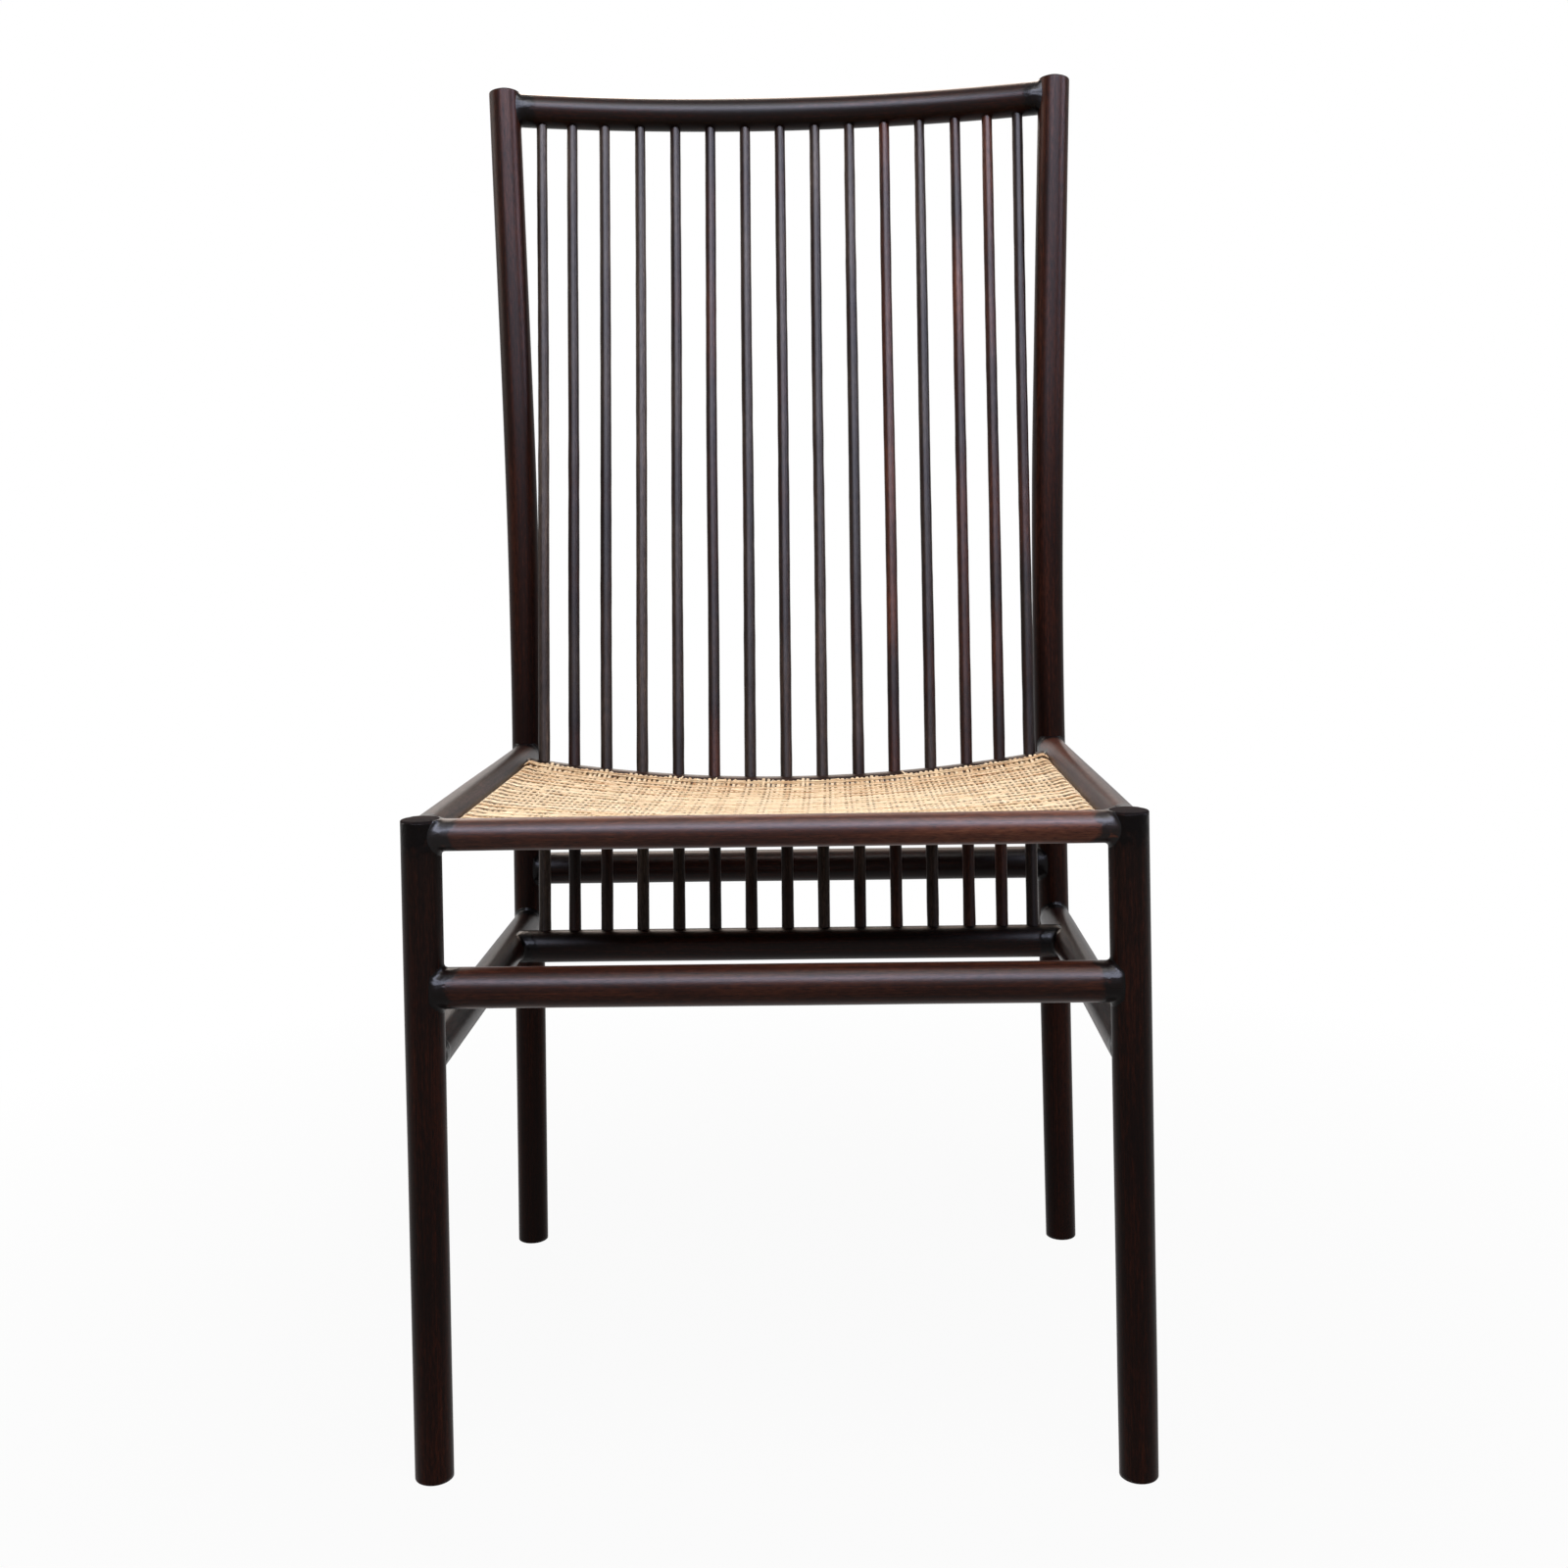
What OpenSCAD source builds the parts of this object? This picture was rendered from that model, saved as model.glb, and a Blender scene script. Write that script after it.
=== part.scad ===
// Spindle-back side chair: round rosewood members, a back of spindles that run
// down past the seat to a lower rail, and a woven cane seat slung inside the
// seat frame. Millimetres, +Z up. The origin is on the floor, under the middle
// of the whole chair. The chair faces -Y. Left and right are as seen from the
// front, with left at -X. Construction places are counted from the front legs.

/* [Overall] */
// Height of the top of the seat frame above the floor
seat_h = 450; // [400:5:500]
// Height of the tops of the back posts above the floor
back_h = 1002; // [940:1:1080]
// Distance between the axes of the left and right legs at seat height
leg_span = 449; // [440:1:500]
// Distance between the axes of the front and rear legs
leg_depth = 400; // [370:1:440]
// How far each foot stands outside its leg's place at seat height
foot_splay = 12; // [4:1:22]

/* [Legs and posts] */
// Diameter of the front legs
leg_d = 26; // [25:0.5:30]
// Diameter of the rear legs and of the posts that they run up into
post_d = 26; // [25:0.5:30]
// Length of the arc that bends each post back, from the seat upwards
bend_len = 300; // [150:5:400]
// Angle between a post's upper, straight stretch and its leg, in degrees
post_lean = 9.2; // [5:0.1:13]
// Turn of the bend away from straight back, outwards, in degrees
post_turnout = 21; // [0:1:32]
// Rise of the rounded top of a post
post_crown = 3.5; // [2:0.5:6]

/* [Seat frame] */
// Diameter of the front seat rail
front_rail_d = 21; // [20:0.5:24]
// Diameter of the side seat rails
side_rail_d = 23.5; // [22:0.5:26]
// Diameter of the rear seat rail
rear_rail_d = 22; // [20:0.5:25]
// Drop of the rear seat rail's ends below the top of the seat frame
rear_rail_drop = 3; // [3:0.5:8]
// Dip of the rear seat rail at its middle
rear_rail_dip = 22; // [8:0.5:24]

/* [Stretchers] */
// Height of the axes of the front and rear stretchers
high_stretcher_h = 339; // [330:1:365]
// Height of the axes of the side stretchers and of the lower spindle rail
low_stretcher_h = 291; // [240:1:300]
// Diameter of the front stretcher
front_stretcher_d = 27; // [22:0.5:28]
// Diameter of the rear stretcher
rear_stretcher_d = 27.5; // [22:0.5:28]
// Diameter of the side stretchers
side_stretcher_d = 25.5; // [22:0.5:28]

/* [Back] */
// Diameter of the lower spindle rail
lower_rail_d = 26.5; // [22:0.5:27]
// Distance from the rear legs' axes forward to the lower spindle rail's axis
lower_rail_ahead = 90; // [80:1:110]
// Diameter of the top rail
top_rail_d = 27; // [24:0.5:30]
// Distance from the posts' tops down to the top rail's axis
top_rail_down = 17; // [17:0.5:30]
// Bow of the top rail, backwards at its middle
top_rail_bow = 41; // [15:1:50]

/* [Spindles] */
// Diameter of a spindle at its foot
spindle_foot_d = 10; // [9:0.1:11]
// Diameter of a spindle at its top
spindle_head_d = 9; // [7:0.1:9.5]
// Spacing of the inner spindles along the lower rail
spindle_pitch = 29.8; // [26:0.1:30.2]
// Spacing from the inner spindles to the last but one
outer_pitch = 26.6; // [24:0.1:29]
// Spacing from the last but one spindle to the end one
end_pitch = 24.8; // [20:0.1:26]
// How much wider the spindles stand at the top rail than at the lower rail
spindle_fan = 1.012; // [1:0.002:1.04]

/* [Joints] */
// Diameter of the round tenons in the legs and posts
tenon_d = 13; // [10:0.5:15]
// Diameter of the round tenons of the two rails that the spindles stand in
rail_tenon_d = 10; // [8:0.5:11]
// Length of a round tenon beyond its shoulder
tenon_len = 16; // [12:0.5:18]
// Reach of a coped shoulder past the nearest point of the member that it meets
cope_wrap = 7; // [6.5:0.5:9]
// Depth of a spindle's end in the lower rail or the top rail
spindle_depth = 12; // [8:0.5:14]
// Depth of a side seat rod's end in the front or rear seat rail
rod_depth = 3; // [2:0.5:4]
// Glue space round a tenon and under a shoulder
glue_gap = 0.1; // [0.05:0.05:0.2]
// Extra depth of a mortise past the end that it takes
mortise_spare = 1; // [0.5:0.5:1.5]

/* [Cane seat] */
// Diameter of the rattan rods that the cane is wound round
seat_rod_d = 8; // [6:0.5:9]
// Drop of the cane's border below the top of the seat frame
cane_drop = 9.5; // [8:0.5:12]
// Thickness of the woven cane
cane_t = 3; // [2:0.5:4]
// Sag of the woven cane at its middle, beyond the dip of the rear rail
cane_sag = 5; // [0:1:12]
// Space between the soft cane and the rods that it lies on
cane_gap = 0.3; // [0.2:0.1:0.6]

/* [Hidden] */
// Facets of a full turn, on round members and on the long arcs of the bent ones
round_fn = 64;
arc_fn = 720;
$fn = round_fn;
ROSEWOOD = "#2E1914";
SPINDLE_WOOD = "#3A2722";
RATTAN = "#C79F66";
CANE = "#E5C79A";

// How far a rod that a cut will trim runs on past the cut
trim_len = 100;
// Side of the cube that cuts or keeps everything below a height
cut_size = 4 * back_h;

// Legs: a straight rod that leans in from its foot to the seat
leg_tilt = atan(foot_splay / seat_h);
function leg_x(z) = leg_span / 2 + foot_splay * (1 - z / seat_h);

// Post: an arc that starts at seat height, then a straight stretch.
// rise_dir runs up the leg, and bend_dir is square to it, back and outwards.
bend_r = bend_len * 180 / (PI * post_lean);
rise_dir = [-sin(leg_tilt), 0, cos(leg_tilt)];
bend_dir = [
    sin(post_turnout) * cos(leg_tilt),
    cos(post_turnout),
    sin(post_turnout) * sin(leg_tilt)
];
bend_end = [leg_x(seat_h), leg_depth, seat_h]
    + bend_r * (1 - cos(post_lean)) * bend_dir
    + bend_r * sin(post_lean) * rise_dir;
post_dir = sin(post_lean) * bend_dir + cos(post_lean) * rise_dir;
function post_at(z) = bend_end + post_dir * (z - bend_end.z) / post_dir.z;
post_top = post_at(back_h);
// The bend lies this far inside the straight stretches' surface, and laps them
bend_inset = 0.05;
bend_lap = 1;

// Heights of the seat frame's axes
front_rail_z = seat_h - front_rail_d / 2;
side_rail_z = seat_h - side_rail_d / 2;
rear_rail_z = seat_h - rear_rail_drop - rear_rail_d / 2;

// Top rail: a level arc between the two posts
top_z = back_h - top_rail_down;
top_end = post_at(top_z);
top_arc_r = (pow(top_end.x, 2) + pow(top_rail_bow, 2)) / (2 * top_rail_bow);
function top_y(x) = top_end.y + top_rail_bow - top_arc_r + sqrt(pow(top_arc_r, 2) - x * x);

// Spindles: straight, from the lower rail's axis to the top rail's axis
lower_y = leg_depth - lower_rail_ahead;
inner_count = 5;
side_count = inner_count + 2;
function step_x(i) = i <= inner_count ? i * spindle_pitch
    : inner_count * spindle_pitch + outer_pitch + (i > inner_count + 1 ? end_pitch : 0);
function foot_x(k) = sign(k) * step_x(abs(k));
function spindle_foot(k) = [foot_x(k), lower_y, low_stretcher_h];
function spindle_head(k) = [
    foot_x(k) * spindle_fan,
    top_y(foot_x(k) * spindle_fan),
    top_z
];

// Rear seat rail: an arc that dips, and leans back to stay on the spindles' axes
function share_up(z) = (z - low_stretcher_h) / (top_z - low_stretcher_h);
function back_y(x, z) = lower_y + share_up(z) * (top_y(x) - lower_y);
rear_end = [leg_x(side_rail_z), back_y(leg_x(side_rail_z), rear_rail_z), rear_rail_z];
rear_mid = [0, back_y(0, rear_rail_z - rear_rail_dip), rear_rail_z - rear_rail_dip];
rear_sag = norm([0, rear_mid.y - rear_end.y, rear_mid.z - rear_end.z]);
rear_turn = atan2(rear_mid.y - rear_end.y, rear_end.z - rear_mid.z);
rear_arc_r = (pow(rear_end.x, 2) + pow(rear_sag, 2)) / (2 * rear_sag);
function sag_at(x) = sqrt(pow(rear_arc_r, 2) - x * x) - (rear_arc_r - rear_sag);

// Seat rods: just inside the rails, with their tops under the cane's border
cane_z = seat_h - cane_drop;
rod_z = cane_z - cane_t - cane_gap - seat_rod_d / 2;
function beside(rail_d, rise) =
    sqrt(pow((rail_d + seat_rod_d) / 2 + glue_gap, 2) - rise * rise);
side_rod_x = leg_x(side_rail_z) - beside(side_rail_d, side_rail_z - rod_z);
front_rod_y = beside(front_rail_d, front_rail_z - rod_z);
rear_rod_ahead = beside(rear_rail_d, rear_rail_z - rod_z);
rear_rod_end_y = rear_end.y + sag_at(side_rod_x) * sin(rear_turn) - rear_rod_ahead;
function rod_drop(x) = (sag_at(x) - sag_at(side_rod_x)) * cos(rear_turn);
function rod_back(x) = (sag_at(x) - sag_at(side_rod_x)) * sin(rear_turn);

// The chair's middle, from the foremost to the rearmost round
front_most = -max(leg_d, front_rail_d, front_stretcher_d) / 2;
rear_most = max(top_end.y + top_rail_bow + top_rail_d / 2, post_top.y + post_d / 2);
mid_y = (front_most + rear_most) / 2;

// General shapes

// Moves a piece from the front legs' origin to the chair's origin
module placed() {
    translate([0, -mid_y, 0]) children();
}

// Turns a piece made for the right side (+X) into the left one
module on_side(side) {
    if (side == "left") mirror([1, 0, 0]) children();
    else children();
}

// A round rod between two points
module rod(p, q, d1, d2) {
    v = q - p;
    translate(p)
        rotate([0, acos(v.z / norm(v)), atan2(v.y, v.x)])
            cylinder(h = norm(v), d1 = d1, d2 = d2);
}

// A round rod bent to a flat arc in the XZ plane, sagging by sag, ends at +-half
module sagging_rod(half, sag, d) {
    r = (half * half + sag * sag) / (2 * sag);
    a = asin(half / r);
    translate([0, 0, r - sag])
        rotate([90, 0, 0])
            rotate([0, 0, 270 - a])
                rotate_extrude(angle = 2 * a, $fn = arc_fn)
                    translate([r, 0]) circle(d = d, $fn = round_fn);
}

// Everything below a height
module below(z) {
    translate([-cut_size / 2, -cut_size / 2, z - cut_size]) cube(cut_size);
}

// Legs and posts

module leg_rod(y, d) {
    foot = [leg_x(-trim_len), y, -trim_len];
    rod(foot, [leg_x(seat_h + trim_len), y, seat_h + trim_len], d, d);
}

// The rear leg's own stretch, from below the floor to the bend, or on past it
module rear_leg_rod(d, past = 0) {
    foot = [leg_x(-trim_len), leg_depth, -trim_len];
    rod(foot, [leg_x(seat_h + past), leg_depth, seat_h + past], d, d);
}

// The post's straight stretch, running on past its top
module post_rod(d) {
    rod(bend_end, post_top + trim_len * post_dir, d, d);
}

// A round mortise along X or Y that opens towards the chair's inside
module x_mortise(x, y, z, host_d, d) {
    depth = tenon_len + mortise_spare;
    rod([x - host_d, y, z], [x - host_d / 2 + depth, y, z], d + 2 * glue_gap, d + 2 * glue_gap);
}

module y_mortise(x, y, z, host_d, d, towards) {
    depth = tenon_len + mortise_spare;
    rod(
        [x, y + towards * host_d, z], [x, y + towards * (host_d / 2 - depth), z],
        d + 2 * glue_gap, d + 2 * glue_gap
    );
}

module front_leg(side) {
    color(ROSEWOOD) placed() on_side(side) difference() {
        intersection() {
            leg_rod(0, leg_d);
            below(seat_h);
        }
        below(0);
        x_mortise(leg_x(front_rail_z), 0, front_rail_z, leg_d, tenon_d);
        x_mortise(leg_x(high_stretcher_h), 0, high_stretcher_h, leg_d, tenon_d);
        y_mortise(leg_x(side_rail_z), 0, side_rail_z, leg_d, tenon_d, 1);
        y_mortise(leg_x(low_stretcher_h), 0, low_stretcher_h, leg_d, tenon_d, 1);
    }
}

// The arc of the post. It is a hair slimmer than the straight stretches, and
// its ends run a little way into them, so that the three make one solid.
module post_bend() {
    lap_turn = bend_lap * 180 / (PI * bend_r);
    translate([leg_x(seat_h), leg_depth, seat_h])
        rotate([0, -leg_tilt, 0])
            rotate([0, 0, 90 - post_turnout])
                translate([bend_r, 0, 0])
                    rotate([90, 0, 180])
                        rotate([0, 0, -lap_turn])
                            rotate_extrude(angle = post_lean + 2 * lap_turn, $fn = arc_fn)
                                translate([bend_r, 0])
                                    circle(d = post_d - 2 * bend_inset, $fn = round_fn);
}

// The straight stretch, rounded off at its top
module post_head() {
    head_len = norm(post_top - bend_end);
    crown_r = (pow(post_d / 2, 2) + pow(post_crown, 2)) / (2 * post_crown);
    translate(bend_end)
        rotate([0, acos(post_dir.z), atan2(post_dir.y, post_dir.x)])
            difference() {
                cylinder(h = head_len, d = post_d);
                difference() {
                    translate([-post_d, -post_d, head_len - 2 * post_crown])
                        cube([2 * post_d, 2 * post_d, 4 * post_crown]);
                    translate([0, 0, head_len - crown_r]) sphere(r = crown_r);
                }
            }
}

module rear_post(side) {
    color(ROSEWOOD) placed() on_side(side) difference() {
        union() {
            rear_leg_rod(post_d);
            post_bend();
            post_head();
        }
        below(0);
        y_mortise(leg_x(side_rail_z), leg_depth, side_rail_z, post_d, tenon_d, -1);
        y_mortise(leg_x(low_stretcher_h), leg_depth, low_stretcher_h, post_d, tenon_d, -1);
        x_mortise(leg_x(high_stretcher_h), leg_depth, high_stretcher_h, post_d, tenon_d);
        x_mortise(top_end.x, top_end.y, top_z, post_d, tenon_d);
    }
}

// Level cross members

// A straight member along X between two hosts, and its round tenons
module cross_member(half, y, z, d, host_d) {
    end = half - host_d / 2 + cope_wrap;
    rod([-end, y, z], [end, y, z], d, d);
}

module cross_tenons(half, y, z, host_d, t_d) {
    end = half - host_d / 2 + tenon_len;
    rod([-end, y, z], [end, y, z], t_d, t_d);
}

// Both legs of a pair, with the glue space, as a tool that copes a shoulder
module front_legs_tool() {
    for (side = ["left", "right"]) on_side(side) leg_rod(0, leg_d + 2 * glue_gap);
}

module rear_legs_tool() {
    for (side = ["left", "right"]) on_side(side) rear_leg_rod(post_d + 2 * glue_gap, trim_len);
}

// The half of a front leg's inside that the front rail's tenon may use.
// The plane stands at 45 degrees on the leg's axis, where the tenons are mitred.
module mitre_half(z, towards) {
    side = 2 * leg_d;
    translate([leg_x(z), 0, z])
        rotate([0, 0, 45])
            translate([towards > 0 ? glue_gap : -side - glue_gap, -side / 2, -side / 2])
                cube(side);
}

module front_seat_rail() {
    color(ROSEWOOD) placed() difference() {
        union() {
            difference() {
                cross_member(leg_x(front_rail_z), 0, front_rail_z, front_rail_d, leg_d);
                front_legs_tool();
            }
            difference() {
                cross_tenons(leg_x(front_rail_z), 0, front_rail_z, leg_d, tenon_d);
                for (side = ["left", "right"]) on_side(side) mitre_half(front_rail_z, 1);
            }
        }
        for (side = ["left", "right"]) on_side(side) side_rod_ends();
    }
}

module front_stretcher() {
    color(ROSEWOOD) placed() {
        difference() {
            cross_member(
                leg_x(high_stretcher_h), 0, high_stretcher_h, front_stretcher_d, leg_d
            );
            front_legs_tool();
        }
        cross_tenons(leg_x(high_stretcher_h), 0, high_stretcher_h, leg_d, tenon_d);
    }
}

module rear_stretcher() {
    color(ROSEWOOD) placed() {
        difference() {
            cross_member(
                leg_x(high_stretcher_h), leg_depth, high_stretcher_h, rear_stretcher_d, post_d
            );
            rear_legs_tool();
        }
        cross_tenons(leg_x(high_stretcher_h), leg_depth, high_stretcher_h, post_d, tenon_d);
    }
}

// Side members

module side_member_rod(z, d) {
    rod(
        [leg_x(z), leg_d / 2 - cope_wrap, z],
        [leg_x(z), leg_depth - post_d / 2 + cope_wrap, z],
        d, d
    );
}

module side_member_tenons(z, d) {
    rod(
        [leg_x(z), leg_d / 2 - tenon_len, z],
        [leg_x(z), leg_depth - post_d / 2 + tenon_len, z],
        d, d
    );
}

module side_seat_rail(side) {
    color(ROSEWOOD) placed() on_side(side) difference() {
        union() {
            difference() {
                side_member_rod(side_rail_z, side_rail_d);
                leg_rod(0, leg_d + 2 * glue_gap);
                rear_leg_rod(post_d + 2 * glue_gap, trim_len);
            }
            difference() {
                side_member_tenons(side_rail_z, tenon_d);
                mitre_half(side_rail_z, -1);
            }
        }
        x_mortise(rear_end.x, rear_end.y, rear_rail_z, side_rail_d, rail_tenon_d);
    }
}

module side_stretcher(side) {
    color(ROSEWOOD) placed() on_side(side) difference() {
        union() {
            difference() {
                side_member_rod(low_stretcher_h, side_stretcher_d);
                leg_rod(0, leg_d + 2 * glue_gap);
                rear_leg_rod(post_d + 2 * glue_gap, trim_len);
            }
            side_member_tenons(low_stretcher_h, tenon_d);
        }
        x_mortise(
            leg_x(low_stretcher_h), lower_y, low_stretcher_h, side_stretcher_d, rail_tenon_d
        );
    }
}

// The side members as tools that cope the shoulders of the spindle rails
module side_rails_tool() {
    for (side = ["left", "right"])
        on_side(side) side_member_rod(side_rail_z, side_rail_d + 2 * glue_gap);
}

module side_stretchers_tool() {
    for (side = ["left", "right"])
        on_side(side) side_member_rod(low_stretcher_h, side_stretcher_d + 2 * glue_gap);
}

// Spindles and the rails that hold them

module spindle_rod(k, gap, spare) {
    p = spindle_foot(k);
    q = spindle_head(k);
    v = (q - p) / norm(q - p);
    low = p + v * (lower_rail_d / 2 - spindle_depth - spare);
    high = q - v * (top_rail_d / 2 - spindle_depth - spare);
    rod(low, high, spindle_foot_d + 2 * gap, spindle_head_d + 2 * gap);
}

module spindle_holes() {
    for (k = [-side_count : side_count]) spindle_rod(k, glue_gap, mortise_spare);
}

module spindle(number) {
    color(SPINDLE_WOOD) placed() spindle_rod(number - side_count - 1, 0, 0);
}

module rear_seat_rail() {
    half = rear_end.x - side_rail_d / 2 + cope_wrap;
    color(ROSEWOOD) placed() difference() {
        union() {
            difference() {
                intersection() {
                    translate(rear_end - [rear_end.x, 0, 0])
                        rotate([rear_turn, 0, 0])
                            sagging_rod(rear_end.x, rear_sag, rear_rail_d);
                    translate([-half, 0, 0]) cube([2 * half, leg_depth, seat_h]);
                }
                side_rails_tool();
            }
            for (side = ["left", "right"]) on_side(side) rear_rail_tenon();
        }
        spindle_holes();
        for (side = ["left", "right"]) on_side(side) side_rod_ends();
    }
}

// A short level tenon that leaves the dipping rail at its end
module rear_rail_tenon() {
    start = rear_end.x - side_rail_d / 2 - tenon_len / 2;
    rod(
        [start, rear_end.y, rear_rail_z],
        [rear_end.x - side_rail_d / 2 + tenon_len, rear_end.y, rear_rail_z],
        rail_tenon_d, rail_tenon_d
    );
}

module lower_spindle_rail() {
    half = leg_x(low_stretcher_h);
    color(ROSEWOOD) placed() difference() {
        union() {
            difference() {
                cross_member(half, lower_y, low_stretcher_h, lower_rail_d, side_stretcher_d);
                side_stretchers_tool();
            }
            cross_tenons(half, lower_y, low_stretcher_h, side_stretcher_d, rail_tenon_d);
        }
        spindle_holes();
    }
}

module top_rail() {
    half = top_end.x - post_d / 2 + cope_wrap;
    color(ROSEWOOD) placed() difference() {
        union() {
            difference() {
                intersection() {
                    translate([0, top_end.y, top_z])
                        rotate([90, 0, 0])
                            sagging_rod(top_end.x, top_rail_bow, top_rail_d);
                    translate([-half, 0, seat_h]) cube([2 * half, 2 * leg_depth, back_h]);
                }
                for (side = ["left", "right"]) on_side(side) post_rod(post_d + 2 * glue_gap);
            }
            for (side = ["left", "right"]) on_side(side) top_rail_tenon();
        }
        spindle_holes();
    }
}

// A short tenon along X that leaves the bowed rail at its end
module top_rail_tenon() {
    start = top_end.x - post_d / 2 - tenon_len / 2;
    rod(
        [start, top_end.y, top_z],
        [top_end.x - post_d / 2 + tenon_len, top_end.y, top_z],
        tenon_d, tenon_d
    );
}

// Seat rods and cane

// The part of a side seat rod that lies in the front and the rear seat rail
module side_rod_ends() {
    far = rear_rod_end_y + seat_rod_d / 2 + rod_depth + mortise_spare;
    near = front_rod_y - seat_rod_d / 2 - rod_depth - mortise_spare;
    d = seat_rod_d + 2 * glue_gap;
    rod([side_rod_x, near, rod_z], [side_rod_x, far, rod_z], d, d);
}

module seat_rod_side(side) {
    near = front_rod_y - seat_rod_d / 2 - rod_depth;
    far = rear_rod_end_y + seat_rod_d / 2 + rod_depth;
    color(RATTAN) placed() on_side(side)
        rod([side_rod_x, near, rod_z], [side_rod_x, far, rod_z], seat_rod_d, seat_rod_d);
}

// The two side rods as a tool that copes the ends of the front and rear rods
module side_rods_tool() {
    for (side = ["left", "right"]) on_side(side) side_rod_ends();
}

module seat_rod_front() {
    end = side_rod_x;
    color(RATTAN) placed() difference() {
        rod([-end, front_rod_y, rod_z], [end, front_rod_y, rod_z], seat_rod_d, seat_rod_d);
        side_rods_tool();
    }
}

module seat_rod_rear() {
    sag = sag_at(0) - sag_at(side_rod_x);
    color(RATTAN) placed() difference() {
        intersection() {
            translate([0, rear_rod_end_y, rod_z])
                rotate([rear_turn, 0, 0])
                    sagging_rod(side_rod_x, sag, seat_rod_d);
            translate([-side_rod_x, 0, 0]) cube([2 * side_rod_x, leg_depth, seat_h]);
        }
        side_rods_tool();
    }
}

// The cane, as one closed sheet over the four rods. The outer row of points on
// each side laps over its rod, and the next row lies on the rod's top.
cane_steps_x = 28;
cane_steps_y = 18;
cane_lap = seat_rod_d / 4;
function cane_place(i, steps, low, high) =
    i == 0 ? low - cane_lap
    : i == steps ? high + cane_lap
    : low + (high - low) * (i - 1) / (steps - 2);
function cane_point(i, j, down) = let (
    x = cane_place(i, cane_steps_x, -side_rod_x, side_rod_x),
    on_x = min(max(x, -side_rod_x), side_rod_x),
    back = rear_rod_end_y + rod_back(on_x),
    y = cane_place(j, cane_steps_y, front_rod_y, back),
    across = on_x / side_rod_x,
    along = min(max((y - front_rod_y) / (back - front_rod_y), 0), 1),
    hang = cane_sag * (1 - pow(across, 2)) * 4 * along * (1 - along)
) [x, y, cane_z - rod_drop(on_x) * along - hang - down];
function cane_index(i, j) = i * (cane_steps_y + 1) + j;

module cane_seat() {
    n = (cane_steps_x + 1) * (cane_steps_y + 1);
    points = [
        for (down = [0, cane_t])
            for (i = [0 : cane_steps_x])
                for (j = [0 : cane_steps_y]) cane_point(i, j, down)
    ];
    sheet = [
        for (i = [0 : cane_steps_x - 1]) for (j = [0 : cane_steps_y - 1])
            let (a = cane_index(i, j), b = a + cane_steps_y + 1)
                each [
                    [a, a + 1, b], [b, a + 1, b + 1],
                    [n + a, n + b, n + a + 1], [n + b, n + b + 1, n + a + 1]
                ]
    ];
    // The rim, as one ring of point numbers round the sheet
    ring = concat(
        [for (i = [0 : cane_steps_x - 1]) cane_index(i, 0)],
        [for (j = [0 : cane_steps_y - 1]) cane_index(cane_steps_x, j)],
        [for (i = [cane_steps_x : -1 : 1]) cane_index(i, cane_steps_y)],
        [for (j = [cane_steps_y : -1 : 1]) cane_index(0, j)]
    );
    rim = [
        for (m = [0 : len(ring) - 1])
            let (a = ring[m], b = ring[(m + 1) % len(ring)])
                each [[a, b, n + a], [b, n + b, n + a]]
    ];
    color(CANE) placed() polyhedron(points = points, faces = concat(sheet, rim));
}

// Every piece, by its node's name

front_leg("left");  // front_leg_left
front_leg("right");  // front_leg_right
rear_post("left");  // rear_post_left
rear_post("right");  // rear_post_right
front_seat_rail();
side_seat_rail("left");  // side_seat_rail_left
side_seat_rail("right");  // side_seat_rail_right
rear_seat_rail();
front_stretcher();
side_stretcher("left");  // side_stretcher_left
side_stretcher("right");  // side_stretcher_right
rear_stretcher();
lower_spindle_rail();
top_rail();
spindle(1);  // spindle_01
spindle(2);  // spindle_02
spindle(3);  // spindle_03
spindle(4);  // spindle_04
spindle(5);  // spindle_05
spindle(6);  // spindle_06
spindle(7);  // spindle_07
spindle(8);  // spindle_08
spindle(9);  // spindle_09
spindle(10);  // spindle_10
spindle(11);  // spindle_11
spindle(12);  // spindle_12
spindle(13);  // spindle_13
spindle(14);  // spindle_14
spindle(15);  // spindle_15
seat_rod_side("left");  // seat_rod_left
seat_rod_side("right");  // seat_rod_right
seat_rod_front();
seat_rod_rear();
cane_seat();
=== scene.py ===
import math
from collections import namedtuple

import bpy
from mathutils import Matrix, Vector, noise


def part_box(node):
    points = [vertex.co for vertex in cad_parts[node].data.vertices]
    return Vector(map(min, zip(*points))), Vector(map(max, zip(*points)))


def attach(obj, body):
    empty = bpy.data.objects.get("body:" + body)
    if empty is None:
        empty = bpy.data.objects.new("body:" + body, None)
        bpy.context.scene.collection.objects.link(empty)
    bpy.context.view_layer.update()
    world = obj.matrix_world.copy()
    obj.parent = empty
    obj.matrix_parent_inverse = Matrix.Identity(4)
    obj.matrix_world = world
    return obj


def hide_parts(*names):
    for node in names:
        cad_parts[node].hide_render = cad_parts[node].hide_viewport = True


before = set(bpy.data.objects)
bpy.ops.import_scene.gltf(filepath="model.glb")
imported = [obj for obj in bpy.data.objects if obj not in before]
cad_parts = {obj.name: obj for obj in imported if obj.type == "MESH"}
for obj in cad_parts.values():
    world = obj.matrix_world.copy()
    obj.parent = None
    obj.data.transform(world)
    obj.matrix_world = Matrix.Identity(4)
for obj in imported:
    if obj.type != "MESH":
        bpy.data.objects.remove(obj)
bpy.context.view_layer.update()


# Camera, floor and light
# The camera stands in front, a little above the seat, and looks slightly down. The floor
# is grey paper that shows as near white, under a wide soft lamp from above and in front.
CAMERA_PLACE = Vector((0.0386, -1.3459, 0.6311))
CAMERA_YAW = math.radians(-1.616)
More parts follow.
